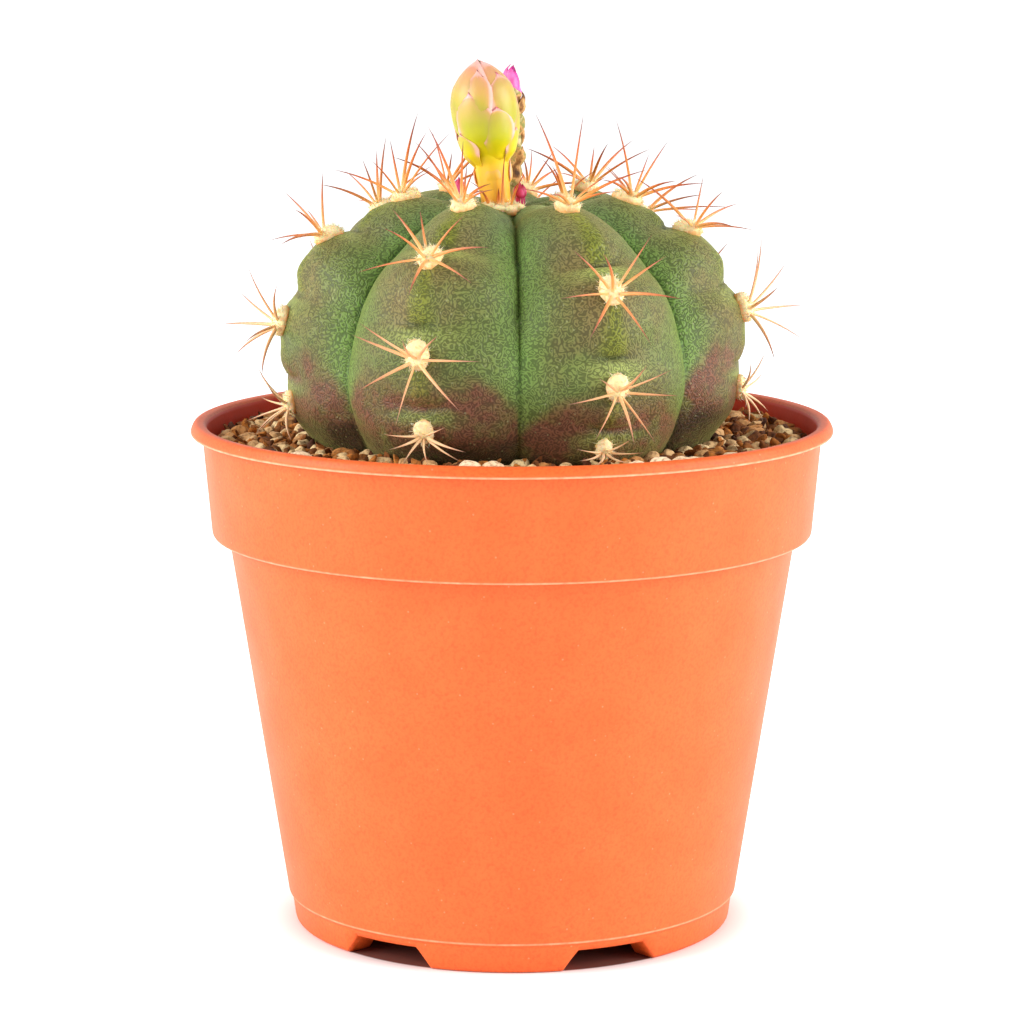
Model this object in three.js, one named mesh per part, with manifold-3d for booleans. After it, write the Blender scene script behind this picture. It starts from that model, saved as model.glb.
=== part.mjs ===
// A potted round cactus: a flattened globe with seven ribs, woolly areoles with spines, a flower bud,
// a withered flower and two young buds, rooted in grit that fills a terracotta-coloured plastic pot.
// Millimetres, +Z up. The origin is on the ground under the middle of the pot, and the front looks along -Y.
// An azimuth is in degrees about +Z: 0 is the front and 90 is +X, the right. A path is the distance along a
// rib's ridge from the crown.
import * as THREE from "three";
import { mergeVertices } from "three/addons/utils/BufferGeometryUtils.js";
import Module from "manifold-3d";

const wasm = await Module();
wasm.setup();

const GAP = 0.35; // the space kept between two pieces that touch
const SOIL_GAP = 0.5; // the space kept between the grit and the plant
const TIDY = 0.05; // edges shorter than this are closed up once a piece is whole

// The pot: one thin moulded wall that steps out into a collar, with a flange round the rim.
const POT = {
  sides: 64,
  height: 95.5,
  wall: 0.95,
  rimRadius: 60,
  rimThickness: 2.3,
  rimRound: 0.7,
  collarTopRadius: 57.9,
  collarFootRadius: 56.2,
  collarFootHeight: 74,
  collarRound: 0.9,
  bodyTopRadius: 53.2,
  bodyFootRadius: 42.6,
  bandHeight: 5.6,
  bandStep: 0.6,
  bandRise: 0.6,
  baseRadius: 41.3,
  baseRound: 0.8,
};
const BASE = { footInnerRadius: 35.6, floorHeight: 4.2, floorThickness: 1.2 };
const NOTCH = { azimuths: [-34, 26, 146, 206], halfFoot: 9.4, halfTop: 6.6, height: 3.8, depth: 9 };
const DRAIN = { radius: 3.6, ringRadius: 23, count: 6, sides: 12 };

// The grit: its level in the pot and the pebbles on its top, which lie in rings from the wall inwards.
const SOIL = { level: 90.4, rimGap: 0.3, seed: 11 };
const PEBBLE = {
  radius: 2.6,
  smallest: 0.84,
  flattest: 0.75,
  width: 0.85,
  tilt: 0.35,
  top: 92.7,
  dip: 0.9,
  spacing: 7,
  ringStep: 5.6,
  rings: 2,
  scatter: 0.18,
};

// The globe: a squat superellipse of revolution, dimpled at the crown, cut into ribs and swollen into a
// tubercle round each areole. A crease parts two tubercles at a share of the way from one areole to the next.
const GLOBE = {
  radius: 43.1,
  middle: 111,
  above: 27.2,
  below: 34,
  power: 2.4,
  dimple: 3.2,
  dimpleRadius: 9,
};
const RIB = { count: 7, first: -23.7, groove: 6.4, sharpness: 2.6, deepFrom: 15, shallowFor: 34, columns: 8 };
const TUBERCLE = {
  height: 3.7,
  offset: 0.76,
  crease: 0.72,
  first: 0.62,
  last: 10,
  lean: 0.8,
  roundness: 0.75,
  narrowing: 1.4,
  grows: [6, 20],
  calms: [50, 64],
  calming: 0.6,
  ends: [76, 84],
};
// The rows of points down a rib, as shares of the way to the first tubercle, past each areole and underneath.
const ROWS = { crown: [0, 0.35, 0.7, 1], pastAreole: [1 / 3, 2 / 3, 1], under: [0.2, 0.6, 1] };
const ROOT = { neckRadius: 13, neckHeight: 82, tipRadius: 3, tipHeight: 48, topHeight: 86, sides: 14 };

const PAD = { along: 2.5, across: 2.1, height: 1.55, sink: 0.55, drop: 0.45 };
const SPINE_RADIUS = 0.46;

// The ribs in turn from the front left one, and down each rib its areoles: the path, how far the areole sits
// aside of the ridge in degrees, its pad's relative size, and its spines as [clock angle from the crown's
// side, lift off the skin, length].
const AREOLES = [
  [
    { path: 21.5, aside: 0, size: 1.0, spines: [
      [-64, 59, 15.2], [-53, 26, 14.5], [-161, 44, 14.5], [-20, 34, 14.5], [130, 22, 14.5],
      [137, 43, 13.1], [56, 28, 13.1],
    ] },
    { path: 38.5, aside: 0.6, size: 1.0, spines: [
      [-165, 52, 15.0], [-53, 26, 12.0], [-27, 12, 12.0], [102, 46, 15.0], [98, 16, 13.5],
      [133, 12, 19.5], [168, 12, 18.0], [-145, 16, 15.0],
    ] },
    { path: 56.3, aside: 1.4, size: 1.0, spines: [
      [-55, 37, 12.0], [-74, 12, 12.0], [-128, 31, 12.1], [178, 37, 15.0], [130, 20, 15.0],
      [91, 20, 15.0], [46, 72, 15.0], [64, 48, 13.5],
    ] },
    { path: 70.3, aside: 1.8, size: 0.8, spines: [
      [-69, 51, 8.4], [-161, 67, 8.4], [134, 55, 8.4], [114, 21, 9.5], [96, 28, 11.6], [62, 39, 10.5],
      [-100, 64, 8.4],
    ] },
  ],
  [
    { path: 22.0, aside: -0.8, size: 1.0, spines: [
      [-5, 47, 18.7], [36, 48, 18.7], [-114, 19, 15.3], [59, 12, 13.6], [176, 21, 17.0],
      [-141, 18, 17.0], [119, 28, 15.3],
    ] },
    { path: 45.2, aside: -2.6, size: 1.0, spines: [
      [-61, 33, 12.0], [46, 48, 12.1], [67, 13, 12.0], [131, 37, 13.5], [174, 20, 15.0],
      [-141, 19, 16.5], [-107, 22, 15.0], [-90, 63, 15.0],
    ] },
    { path: 62.2, aside: -2.3, size: 0.9, spines: [
      [-96, 23, 13.5], [-137, 29, 12.2], [-174, 45, 12.2], [154, 33, 11.8], [97, 18, 10.8],
      [57, 44, 10.8], [1, 61, 12.2], [-66, 46, 13.5],
    ] },
    { path: 74.0, aside: -3.8, size: 0.7, spines: [
      [-90, 30, 7.2], [23, 47, 8.1], [79, 32, 7.2], [65, 74, 7.2], [-79, 56, 9.0], [-70, 29, 9.0],
    ] },
  ],
  [
    { path: 21.5, aside: 0, size: 1.0, spines: [
      [50, 42, 17.1], [87, 27, 15.5], [107, 52, 14.0], [-132, 28, 14.0], [-70, 12, 12.4],
      [-87, 16, 17.1], [167, 28, 14.0],
    ] },
    { path: 34.0, aside: -1.0, size: 1.0, spines: [
      [84, 33, 15.0], [-124, 41, 13.5], [120, 21, 13.5], [-158, 12, 13.5], [-124, 12, 18.0],
      [-87, 12, 16.5], [2, 28, 13.5],
    ] },
    { path: 51.5, aside: 0, size: 1.0, spines: [
      [-31, 30, 13.5], [69, 32, 15.0], [109, 34, 15.0], [145, 30, 13.5], [-129, 12, 16.5],
      [-80, 34, 15.0], [23, 28, 13.5],
    ] },
    { path: 66.2, aside: 0, size: 0.8, spines: [
      [74, 21, 8.1], [-56, 12, 10.8], [-137, 18, 8.1], [172, 36, 7.7], [130, 32, 9.0], [-101, 12, 10.8],
      [4, 28, 8.1],
    ] },
  ],
  [
    { path: 17.5, aside: -2, size: 1.0, spines: [
      [171, 33, 15.0], [-131, 34, 14.0], [99, 23, 15.0], [-67, 38, 15.0], [-28, 13, 15.0],
      [33, 28, 13.5], [135, 28, 13.5],
    ] },
    { path: 33.5, aside: 1.0, size: 1.0, spines: [
      [86, 34, 15.0], [-130, 45, 13.0], [125, 25, 13.0], [-159, 15, 13.5], [-128, 14, 17.1],
      [-89, 14, 16.5], [1, 28, 13.1],
    ] },
    { path: 51, aside: -1.0, size: 1.0, spines: [
      [66, 34, 11.4], [-50, 43, 11.6], [-73, 14, 10.9], [-127, 35, 13.0], [-171, 24, 13.7],
      [137, 22, 15.3], [105, 21, 14.8], [89, 63, 13.9],
    ] },
    { path: 67.5, aside: 1.5, size: 0.8, spines: [
      [-47, 28, 10.5], [113, 45, 10.6], [-121, 46, 10.5], [166, 39, 8.8], [-135, 15, 9.6],
      [83, 25, 9.9], [19, 28, 9.0],
    ] },
  ],
  [
    { path: 22, aside: -9, size: 1.0, spines: [
      [5, 17, 13.0], [153, 46, 11.7], [-20, 36, 13.0], [-168, 34, 13.0], [150, 20, 13.0],
      [-96, 28, 11.7], [72, 28, 11.7],
    ] },
    { path: 38.5, aside: -3, size: 1.0, spines: [
      [165, 55, 15.0], [55, 25, 12.6], [31, 14, 12.4], [-97, 50, 14.3], [-98, 17, 13.3],
      [-134, 14, 19.6], [-166, 16, 18.8], [149, 18, 14.5],
    ] },
    { path: 56, aside: 1.0, size: 1.0, spines: [
      [55, 32, 10.9], [71, 14, 11.6], [129, 36, 12.1], [-180, 35, 14.6], [-130, 19, 15.0],
      [-88, 18, 14.0], [-44, 72, 14.6], [-60, 50, 13.2],
    ] },
    { path: 71, aside: -1.5, size: 0.8, spines: [
      [67, 50, 8.1], [165, 72, 7.6], [-146, 73, 8.2], [-111, 21, 9.4], [-98, 30, 10.9], [-64, 43, 9.9],
      [98, 69, 7.9],
    ] },
  ],
  [
    { path: 14.5, aside: 0, size: 0.8, spines: [
      [-67, 55, 13.5], [-50, 24, 12.7], [-159, 48, 11.8], [-22, 50, 12.0], [130, 23, 12.2],
      [133, 47, 10.9], [54, 43, 11.2],
    ] },
    { path: 31, aside: 0, size: 1.0, spines: [
      [-166, 42, 12.6], [60, 33, 15.4], [-123, 48, 15.4], [32, 51, 15.4], [-150, 12, 12.6],
      [-45, 28, 12.6], [124, 28, 12.6],
    ] },
    { path: 49, aside: 1.2, size: 1.0, spines: [
      [26, 48, 13.4], [-79, 22, 13.8], [61, 21, 14.8], [-107, 34, 14.6], [-150, 29, 11.2],
      [134, 14, 16.8], [109, 35, 14.8],
    ] },
    { path: 65.5, aside: -1.5, size: 0.8, spines: [
      [-75, 25, 9.8], [61, 14, 12.1], [132, 19, 9.0], [-166, 32, 9.3], [-126, 32, 11.1], [96, 14, 12.8],
      [-5, 28, 9.5],
    ] },
  ],
  [
    { path: 20, aside: 0, size: 1.0, spines: [
      [-49, 51, 17.1], [-81, 31, 17.1], [82, 18, 15.5], [123, 33, 15.5], [68, 47, 15.5],
      [-155, 28, 14.0], [13, 43, 14.0],
    ] },
    { path: 35.8, aside: 0, size: 1.0, spines: [
      [-63, 38, 15.0], [-106, 39, 13.5], [119, 35, 13.5], [-88, 12, 15.0], [162, 17, 12.0],
      [115, 12, 18.0], [139, 12, 13.5],
    ] },
    { path: 53.6, aside: 0, size: 1.0, spines: [
      [21, 43, 12.6], [-77, 24, 14.0], [59, 18, 14.0], [-108, 34, 14.0], [-146, 28, 11.2],
      [131, 12, 15.4], [111, 32, 14.0],
    ] },
    { path: 68.7, aside: 0, size: 0.8, spines: [
      [51, 27, 9.5], [-113, 43, 10.5], [121, 48, 10.5], [-165, 54, 8.6], [127, 12, 9.5], [-86, 21, 9.5],
      [-19, 28, 8.6],
    ] },
  ],
];

// What stands on the crown. An outline is a list of [share of the length, radius].
const BUD = { foot: [-2.6, -2.6, 133.4], tip: [-6.2, -3.2, 162.3], sides: 14 };
const BUD_OUTLINE = [
  [0, 2.3], [0.08, 2.8], [0.28, 3.3], [0.4, 4.4], [0.52, 5.3], [0.64, 5.65], [0.76, 5.35], [0.86, 4.2],
  [0.94, 2.3], [1, 0],
];
// The bud's scales, row by row: how far up the row is, its azimuths, and each scale's width and length.
const BUD_SCALES = [
  { share: 0.3, azimuths: [-12, 118, 232], width: 3.8, long: 3.8 },
  { share: 0.45, azimuths: [-50, 44, 140, 222], width: 5.4, long: 5.2 },
  { share: 0.58, azimuths: [-20, 38, 110, 182, 254, 300], width: 7, long: 8.6 },
  { share: 0.74, azimuths: [6, 70, 146, 218, 292], width: 6.6, long: 8.8 },
  { share: 0.87, azimuths: [-36, 84, 204], width: 5.4, long: 6.6 },
];
const SCALE = { thickness: 1.6, proud: 0.55, flare: 5 };
const WITHERED = { foot: [0.9, 6.4, 133.8], tip: [1.3, 5.4, 161], sides: 8 };
const WITHERED_OUTLINE = [
  [0, 1.9], [0.15, 1.7], [0.3, 2.1], [0.45, 2.3], [0.6, 2.4], [0.75, 2.3], [0.88, 1.7], [1, 0.5],
];
const WITHERED_ROWS = { count: 7, first: 0.24, step: 0.09, turn: 137.5 };
const WITHERED_SCALE = { width: 2.6, long: 4.4, thickness: 0.9, proud: 0.5, flare: 12 };
const PETAL = { azimuths: [20, 140, 260], half: [1.6, 0.45, 3.3], lean: 9, out: 0.9, drop: 2.4 };
const YOUNG_BUDS = [
  { name: "young_bud_left", foot: [-9.6, 3, 134.4], tip: [-9.8, 2.8, 140.6], radius: 1.05 },
  { name: "young_bud_right", foot: [1.6, 0.7, 134.2], tip: [1.5, 0.5, 139.9], radius: 1.1 },
];
// A young bud's outline and scales, in units of its radius and length.
const YOUNG_OUTLINE = [[0, 0.8], [0.45, 1], [0.8, 0.6], [1, 0]];
const YOUNG_SCALES = { share: 0.5, azimuths: [30, 150, 270], width: 1.6, long: 0.6 };
const YOUNG_SCALE = { thickness: 0.6, proud: 0.25, flare: 6 };
// The flowering areole: a collar of wool round the bud's foot, with its spines as [azimuth, lift, length].
const FLOWERING = {
  half: [3.9, 3.5, 1.9],
  height: 134.9,
  rootRadius: 3.3,
  spines: [[14, 78, 10.5], [44, 60, 8], [-32, 56, 7], [94, 48, 9], [-78, 46, 8], [-128, 52, 8]],
};
const CROWN_AREOLES = [
  {
    name: "areole_crown_right",
    azimuth: 84,
    path: 9,
    spines: [[-70, 50, 7], [0, 62, 8], [75, 50, 7], [165, 40, 8]],
  },
  { name: "areole_crown_left", azimuth: -62, path: 9.6, spines: [[-75, 48, 7], [70, 60, 6.5], [160, 42, 8]] },
];
const CROWN_PAD_SIZE = 0.75;

const FINISHES = {
  pot: { color: 0xf0703f, roughness: 0.5 },
  soil: { color: 0x7a5a41, roughness: 0.95 },
  globe: { color: 0x6f7f4c, roughness: 0.6 },
  areole: { color: 0xe9b377, roughness: 0.7 },
  bud: { color: 0xc6bd45, roughness: 0.5 },
  withered: { color: 0x9a7a4a, roughness: 0.8 },
  young: { color: 0xc23a6a, roughness: 0.5 },
};

const rad = THREE.MathUtils.degToRad;
const lerp = THREE.MathUtils.lerp;
const smooth = THREE.MathUtils.smoothstep;
const AREOLE_PATHS = AREOLES.map((areoles) => areoles.map(({ path }) => path));

/** A repeatable stream of numbers from 0 to 1. */
function randomStream(seed) {
  let state = seed >>> 0;
  return () => {
    state = (Math.imul(state, 1664525) + 1013904223) >>> 0;
    return state / 4294967296;
  };
}

/** The unit vector at an azimuth in degrees. */
function heading(azimuth) {
  return new THREE.Vector3(Math.sin(rad(azimuth)), -Math.cos(rad(azimuth)), 0);
}

/** A closed geometry as a solid that can be joined and cut. */
function solidOf(geometry) {
  const bare = geometry.clone();
  bare.deleteAttribute("normal");
  bare.deleteAttribute("uv");
  const merged = mergeVertices(bare, 1e-4);
  const corners = [];
  for (let i = 0; i < merged.index.count; i += 3) {
    const [a, b, c] = [0, 1, 2].map((k) => merged.index.getX(i + k));
    if (a !== b && b !== c && a !== c) corners.push(a, b, c);
  }
  const mesh = new wasm.Mesh({
    numProp: 3,
    vertProperties: new Float32Array(merged.attributes.position.array),
    triVerts: new Uint32Array(corners),
  });
  return new wasm.Manifold(mesh);
}

/** A solid as a geometry for a mesh. */
function geometryOf(solid) {
  const { numProp, vertProperties, triVerts } = solid.getMesh();
  const points = new Float32Array((vertProperties.length / numProp) * 3);
  for (let i = 0; i < points.length / 3; i++) {
    points.set(vertProperties.subarray(i * numProp, i * numProp + 3), i * 3);
  }
  const geometry = new THREE.BufferGeometry();
  geometry.setAttribute("position", new THREE.BufferAttribute(points, 3));
  geometry.setIndex(new THREE.BufferAttribute(new Uint32Array(triVerts), 1));
  geometry.computeVertexNormals();
  return geometry;
}

/** The largest of the bodies that a solid falls into. */
function largestBody(solid) {
  return solid.decompose().reduce((most, body) => (body.volume() > most.volume() ? body : most));
}

/** A turned shape about +Z from its outline of [radius, height] pairs. */
function turned(outline, sides) {
  const points = outline.map(([r, z]) => new THREE.Vector2(r, z));
  return new THREE.LatheGeometry(points, sides).rotateX(Math.PI / 2);
}

/** A geometry made along +Z, placed with its foot at one point and its +Z towards another. */
function stoodOn(geometry, foot, tip) {
  const axis = new THREE.Vector3().subVectors(tip, foot).normalize();
  const turn = new THREE.Quaternion().setFromUnitVectors(new THREE.Vector3(0, 0, 1), axis);
  return geometry.applyQuaternion(turn).translate(foot.x, foot.y, foot.z);
}

/** A named mesh in one finish. */
function meshOf(name, solid, finish) {
  const material = new THREE.MeshStandardMaterial({ ...finish, metalness: 0 });
  const mesh = new THREE.Mesh(geometryOf(solid.simplify(TIDY)), material);
  mesh.name = name;
  return mesh;
}

/** The outer radius of the pot's tapered wall at a height. */
function wallRadius(height) {
  const share = (height - POT.bandHeight) / (POT.collarFootHeight - POT.bandHeight);
  return lerp(POT.bodyFootRadius, POT.bodyTopRadius, share);
}

/** The outer radius of the pot's collar at a height. */
function collarRadius(height) {
  const under = POT.height - POT.rimThickness;
  const share = (height - POT.collarFootHeight) / (under - POT.collarFootHeight);
  return lerp(POT.collarFootRadius, POT.collarTopRadius, share);
}

/** The trapezium cut out of the foot ring at the front. */
function notchCutter() {
  const below = 2;
  const spread = (NOTCH.halfFoot - NOTCH.halfTop) * (below / NOTCH.height);
  const side = new THREE.Shape([
    new THREE.Vector2(-NOTCH.halfFoot - spread, -below),
    new THREE.Vector2(NOTCH.halfFoot + spread, -below),
    new THREE.Vector2(NOTCH.halfTop, NOTCH.height),
    new THREE.Vector2(-NOTCH.halfTop, NOTCH.height),
  ]);
  const cutter = new THREE.ExtrudeGeometry(side, { depth: NOTCH.depth, bevelEnabled: false });
  return cutter.rotateX(Math.PI / 2).translate(0, NOTCH.depth - POT.baseRadius - below, 0);
}

function makePot() {
  const under = POT.height - POT.rimThickness;
  const floorTop = BASE.floorHeight + BASE.floorThickness;
  const shelf = POT.collarFootHeight + POT.wall;
  const inner = (outer) => outer - POT.wall;
  const outline = [
    [0, BASE.floorHeight],
    [BASE.footInnerRadius, BASE.floorHeight],
    [BASE.footInnerRadius, 0],
    [POT.baseRadius - POT.baseRound, 0],
    [POT.baseRadius, POT.baseRound],
    [POT.bodyFootRadius - POT.bandStep, POT.bandHeight - POT.bandRise],
    [POT.bodyFootRadius, POT.bandHeight],
    [wallRadius(POT.collarFootHeight), POT.collarFootHeight],
    [POT.collarFootRadius - POT.collarRound, POT.collarFootHeight],
    [POT.collarFootRadius, POT.collarFootHeight + POT.collarRound],
    [POT.collarTopRadius, under],
    [POT.rimRadius - POT.rimRound, under],
    [POT.rimRadius, under + POT.rimRound],
    [POT.rimRadius, POT.height - POT.rimRound],
    [POT.rimRadius - POT.rimRound, POT.height],
    [inner(POT.collarTopRadius) + POT.rimRound, POT.height],
    [inner(POT.collarTopRadius), POT.height - POT.rimRound],
    [inner(collarRadius(shelf)), shelf],
    [inner(wallRadius(shelf)), shelf],
    [inner(wallRadius(floorTop)), floorTop],
    [0, floorTop],
  ];
  let pot = solidOf(turned(outline, POT.sides));
  for (const azimuth of NOTCH.azimuths) {
    pot = pot.subtract(solidOf(notchCutter().rotateZ(rad(azimuth))));
  }
  const through = 3 * floorTop;
  const drain = new THREE.CylinderGeometry(DRAIN.radius, DRAIN.radius, through, DRAIN.sides);
  drain.rotateX(Math.PI / 2);
  pot = pot.subtract(solidOf(drain));
  for (let i = 0; i < DRAIN.count; i++) {
    const place = heading((360 * (i + 0.5)) / DRAIN.count).multiplyScalar(DRAIN.ringRadius);
    pot = pot.subtract(solidOf(drain.clone().translate(place.x, place.y, 0)));
  }
  return pot;
}

// The ridge line, measured out from the crown to the underside.
const RIDGE_STEPS = 400;
const RIDGE = [];
for (let i = 0; i <= RIDGE_STEPS; i++) {
  const angle = (Math.PI * i) / RIDGE_STEPS;
  const r = GLOBE.radius * Math.abs(Math.sin(angle)) ** (2 / GLOBE.power);
  const lift = Math.abs(Math.cos(angle)) ** (2 / GLOBE.power);
  const dimple = GLOBE.dimple * Math.exp(-((r / GLOBE.dimpleRadius) ** 2));
  const z = GLOBE.middle + (angle < Math.PI / 2 ? GLOBE.above * lift - dimple : -GLOBE.below * lift);
  const before = RIDGE[i - 1];
  RIDGE.push({ r, z, path: before ? before.path + Math.hypot(r - before.r, z - before.z) : 0 });
}
const RIDGE_LENGTH = RIDGE[RIDGE_STEPS].path;

/** The ridge line's radius and height at a path, and its outward normal's parts. */
function ridgeAt(path) {
  let i = 1;
  while (i < RIDGE_STEPS && RIDGE[i].path < path) i++;
  const [a, b] = [RIDGE[i - 1], RIDGE[i]];
  const share = THREE.MathUtils.clamp((path - a.path) / (b.path - a.path), 0, 1);
  const length = Math.hypot(b.r - a.r, b.z - a.z);
  return {
    r: lerp(a.r, b.r, share),
    z: lerp(a.z, b.z, share),
    outward: (a.z - b.z) / length,
    upward: (b.r - a.r) / length,
  };
}

/** The paths where a rib's tubercles begin and end. */
function creasesOf(paths) {
  const last = paths.length - 1;
  const ends = paths.map((path, k) =>
    k < last ? lerp(path, paths[k + 1], TUBERCLE.crease) : path + TUBERCLE.last,
  );
  return [paths[0] * TUBERCLE.first, ...ends];
}

/** How far the tubercles swell out of a rib's ridge at a path, less the offset, for a height of 1. */
function swelling(paths, path) {
  const creases = creasesOf(paths);
  const k = creases.findIndex((crease, i) => path >= crease && path < creases[i + 1]);
  if (k < 0) return -TUBERCLE.offset;
  const share = (path - creases[k]) / (creases[k + 1] - creases[k]);
  return Math.sin(Math.PI * share ** TUBERCLE.lean) ** TUBERCLE.roundness - TUBERCLE.offset;
}

/** A point of the globe's skin at an azimuth and a path, grown outwards by a margin. */
function skinPoint(azimuth, path, margin = 0) {
  const place = ((azimuth - RIB.first) * RIB.count) / 360;
  const rib = Math.round(place);
  const across = 2 * (place - rib);
  const paths = AREOLE_PATHS[((rib % RIB.count) + RIB.count) % RIB.count];
  const { r, z, outward, upward } = ridgeAt(path);
  const toEnd = RIDGE_LENGTH - path;
  const open = smooth(path, 0, RIB.deepFrom) * smooth(toEnd, 0, RIB.shallowFor);
  const groove = RIB.groove * open * Math.abs(across) ** RIB.sharpness;
  const { height, grows, calms, calming, ends, narrowing } = TUBERCLE;
  const fade = smooth(path, ...grows) * (1 - calming * smooth(path, ...calms)) * (1 - smooth(path, ...ends));
  const swell = height * fade * swelling(paths, path) * (1 - across * across) ** narrowing;
  const move = swell - groove + margin;
  return heading(azimuth).multiplyScalar(Math.max(0, r + outward * move)).setZ(z + upward * move);
}

/** The skin's point, outward normal, direction towards the crown and direction to the side. */
function skinFrame(azimuth, path) {
  const step = 0.8;
  const point = skinPoint(azimuth, path);
  const up = skinPoint(azimuth, path - step).sub(skinPoint(azimuth, path + step)).normalize();
  const turn = THREE.MathUtils.radToDeg(step / Math.hypot(point.x, point.y));
  const across = skinPoint(azimuth + turn, path).sub(skinPoint(azimuth - turn, path));
  const normal = new THREE.Vector3().crossVectors(across, up).normalize();
  return { point, normal, up, side: new THREE.Vector3().crossVectors(up, normal) };
}

/** The paths of the globe's rows of points down one rib: each areole and each crease gets a row. */
function rowPaths(paths) {
  const creases = creasesOf(paths);
  const rows = ROWS.crown.map((share) => share * creases[0]);
  paths.forEach((path, k) => {
    rows.push((rows[rows.length - 1] + path) / 2, path);
    for (const share of ROWS.pastAreole) rows.push(lerp(path, creases[k + 1], share));
  });
  const lowest = rows[rows.length - 1];
  for (const share of ROWS.under) rows.push(lerp(lowest, RIDGE_LENGTH, share));
  return rows;
}

/** The globe and its taproot, grown outwards by a margin. */
function makeGlobe(margin = 0) {
  const ribRows = AREOLE_PATHS.map(rowPaths);
  const middleRows = ribRows[0].map(
    (_, row) => ribRows.reduce((sum, rows) => sum + rows[row], 0) / RIB.count,
  );
  const columns = RIB.count * RIB.columns;
  const rows = middleRows.length - 1;
  const geometry = new THREE.SphereGeometry(1, columns, rows);
  const { position } = geometry.attributes;
  for (let i = 0; i < position.count; i++) {
    const row = Math.floor(i / (columns + 1));
    const column = i % (columns + 1);
    const rib = Math.round(column / RIB.columns);
    const across = 2 * (column / RIB.columns - rib);
    const path = lerp(middleRows[row], ribRows[rib % RIB.count][row], 1 - across * across);
    const point = skinPoint(RIB.first + (column * 360) / columns, path, margin);
    if (row === 0 || row === rows) point.setX(0).setY(0);
    position.setXYZ(i, point.x, point.y, point.z);
  }
  const root = turned(
    [
      [0, ROOT.tipHeight - margin],
      [ROOT.tipRadius + margin, ROOT.tipHeight - margin],
      [ROOT.neckRadius + margin, ROOT.neckHeight],
      [0, ROOT.topHeight],
    ],
    ROOT.sides,
  );
  return solidOf(geometry).add(solidOf(root));
}

/** The grit: a plug that fits the pot, with pebbles on top and a hole where the plant stands. */
function makeSoil() {
  const floorTop = BASE.floorHeight + BASE.floorThickness;
  const shelf = POT.collarFootHeight + POT.wall;
  const fit = (outer) => outer - POT.wall - GAP;
  const outline = [
    [0, floorTop + GAP],
    [fit(wallRadius(floorTop)), floorTop + GAP],
    [fit(wallRadius(shelf)), shelf + GAP],
    [fit(collarRadius(shelf)), shelf + GAP],
    [fit(collarRadius(SOIL.level)), SOIL.level],
    [0, SOIL.level],
  ];
  const random = randomStream(SOIL.seed);
  const pebbles = [];
  const outermost = fit(collarRadius(SOIL.level)) - PEBBLE.radius - SOIL.rimGap;
  for (let ring = 0; ring < PEBBLE.rings; ring++) {
    const radius = outermost - ring * PEBBLE.ringStep;
    const count = Math.round((2 * Math.PI * radius) / PEBBLE.spacing);
    for (let i = 0; i < count; i++) {
      const size = PEBBLE.radius * lerp(PEBBLE.smallest, 1, random());
      const tilt = PEBBLE.tilt * lerp(-1, 1, random());
      const pebble = new THREE.SphereGeometry(size, 5, 3).rotateX(Math.PI / 2 + tilt);
      pebble.scale(1, lerp(PEBBLE.flattest, 1, random()), PEBBLE.width).rotateZ(2 * Math.PI * random());
      pebble.computeBoundingBox();
      const step = i + (ring % 2) / 2 + PEBBLE.scatter * lerp(-1, 1, random());
      const place = heading((360 * step) / count).multiplyScalar(radius);
      const top = PEBBLE.top - PEBBLE.dip * random();
      pebble.translate(place.x, place.y, top - pebble.boundingBox.max.z);
      pebbles.push(solidOf(pebble));
    }
  }
  const hole = makeGlobe(SOIL_GAP);
  const heaped = pebbles.reduce((soil, pebble) => soil.add(pebble), solidOf(turned(outline, POT.sides)));
  return largestBody(heaped.subtract(hole));
}

/** A straight three-sided spine from its root along a direction. */
function spineSolid(root, direction, length) {
  const cone = new THREE.ConeGeometry(SPINE_RADIUS, length, 3);
  cone.rotateX(Math.PI / 2).translate(0, 0, length / 2);
  return solidOf(stoodOn(cone, root, root.clone().add(direction)));
}

/** An areole: a woolly pad on the skin with its fan of spines. */
function makeAreole({ azimuth, path, size, spines }, globeHole) {
  const { point, normal, up, side } = skinFrame(azimuth, path);
  const pad = new THREE.SphereGeometry(1, 6, 4).rotateX(Math.PI / 2);
  pad.scale(PAD.across * size, PAD.along * size, PAD.height * size);
  pad.applyMatrix4(new THREE.Matrix4().makeBasis(side, up, normal).setPosition(point));
  const root = point.clone().addScaledVector(normal, PAD.sink * size).addScaledVector(up, -PAD.drop * size);
  let areole = solidOf(pad);
  for (const [clock, lift, length] of spines) {
    const direction = up.clone().multiplyScalar(Math.cos(rad(clock)) * Math.cos(rad(lift)));
    direction.addScaledVector(side, Math.sin(rad(clock)) * Math.cos(rad(lift)));
    direction.addScaledVector(normal, Math.sin(rad(lift)));
    areole = areole.add(spineSolid(root, direction, length));
  }
  return largestBody(areole.subtract(globeHole));
}

/** The collar of wool round the bud's foot, with its spines. */
function makeFloweringAreole(globeHole) {
  const centre = new THREE.Vector3(...BUD.foot).setZ(FLOWERING.height);
  const pad = new THREE.SphereGeometry(1, 12, 6).rotateX(Math.PI / 2).scale(...FLOWERING.half);
  let areole = solidOf(pad.translate(centre.x, centre.y, centre.z));
  for (const [azimuth, lift, length] of FLOWERING.spines) {
    const root = centre.clone().addScaledVector(heading(azimuth), FLOWERING.rootRadius);
    const direction = heading(azimuth).multiplyScalar(Math.cos(rad(lift))).setZ(Math.sin(rad(lift)));
    areole = areole.add(spineSolid(root, direction, length));
  }
  return largestBody(areole.subtract(budTube(GAP)).subtract(globeHole));
}

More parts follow.
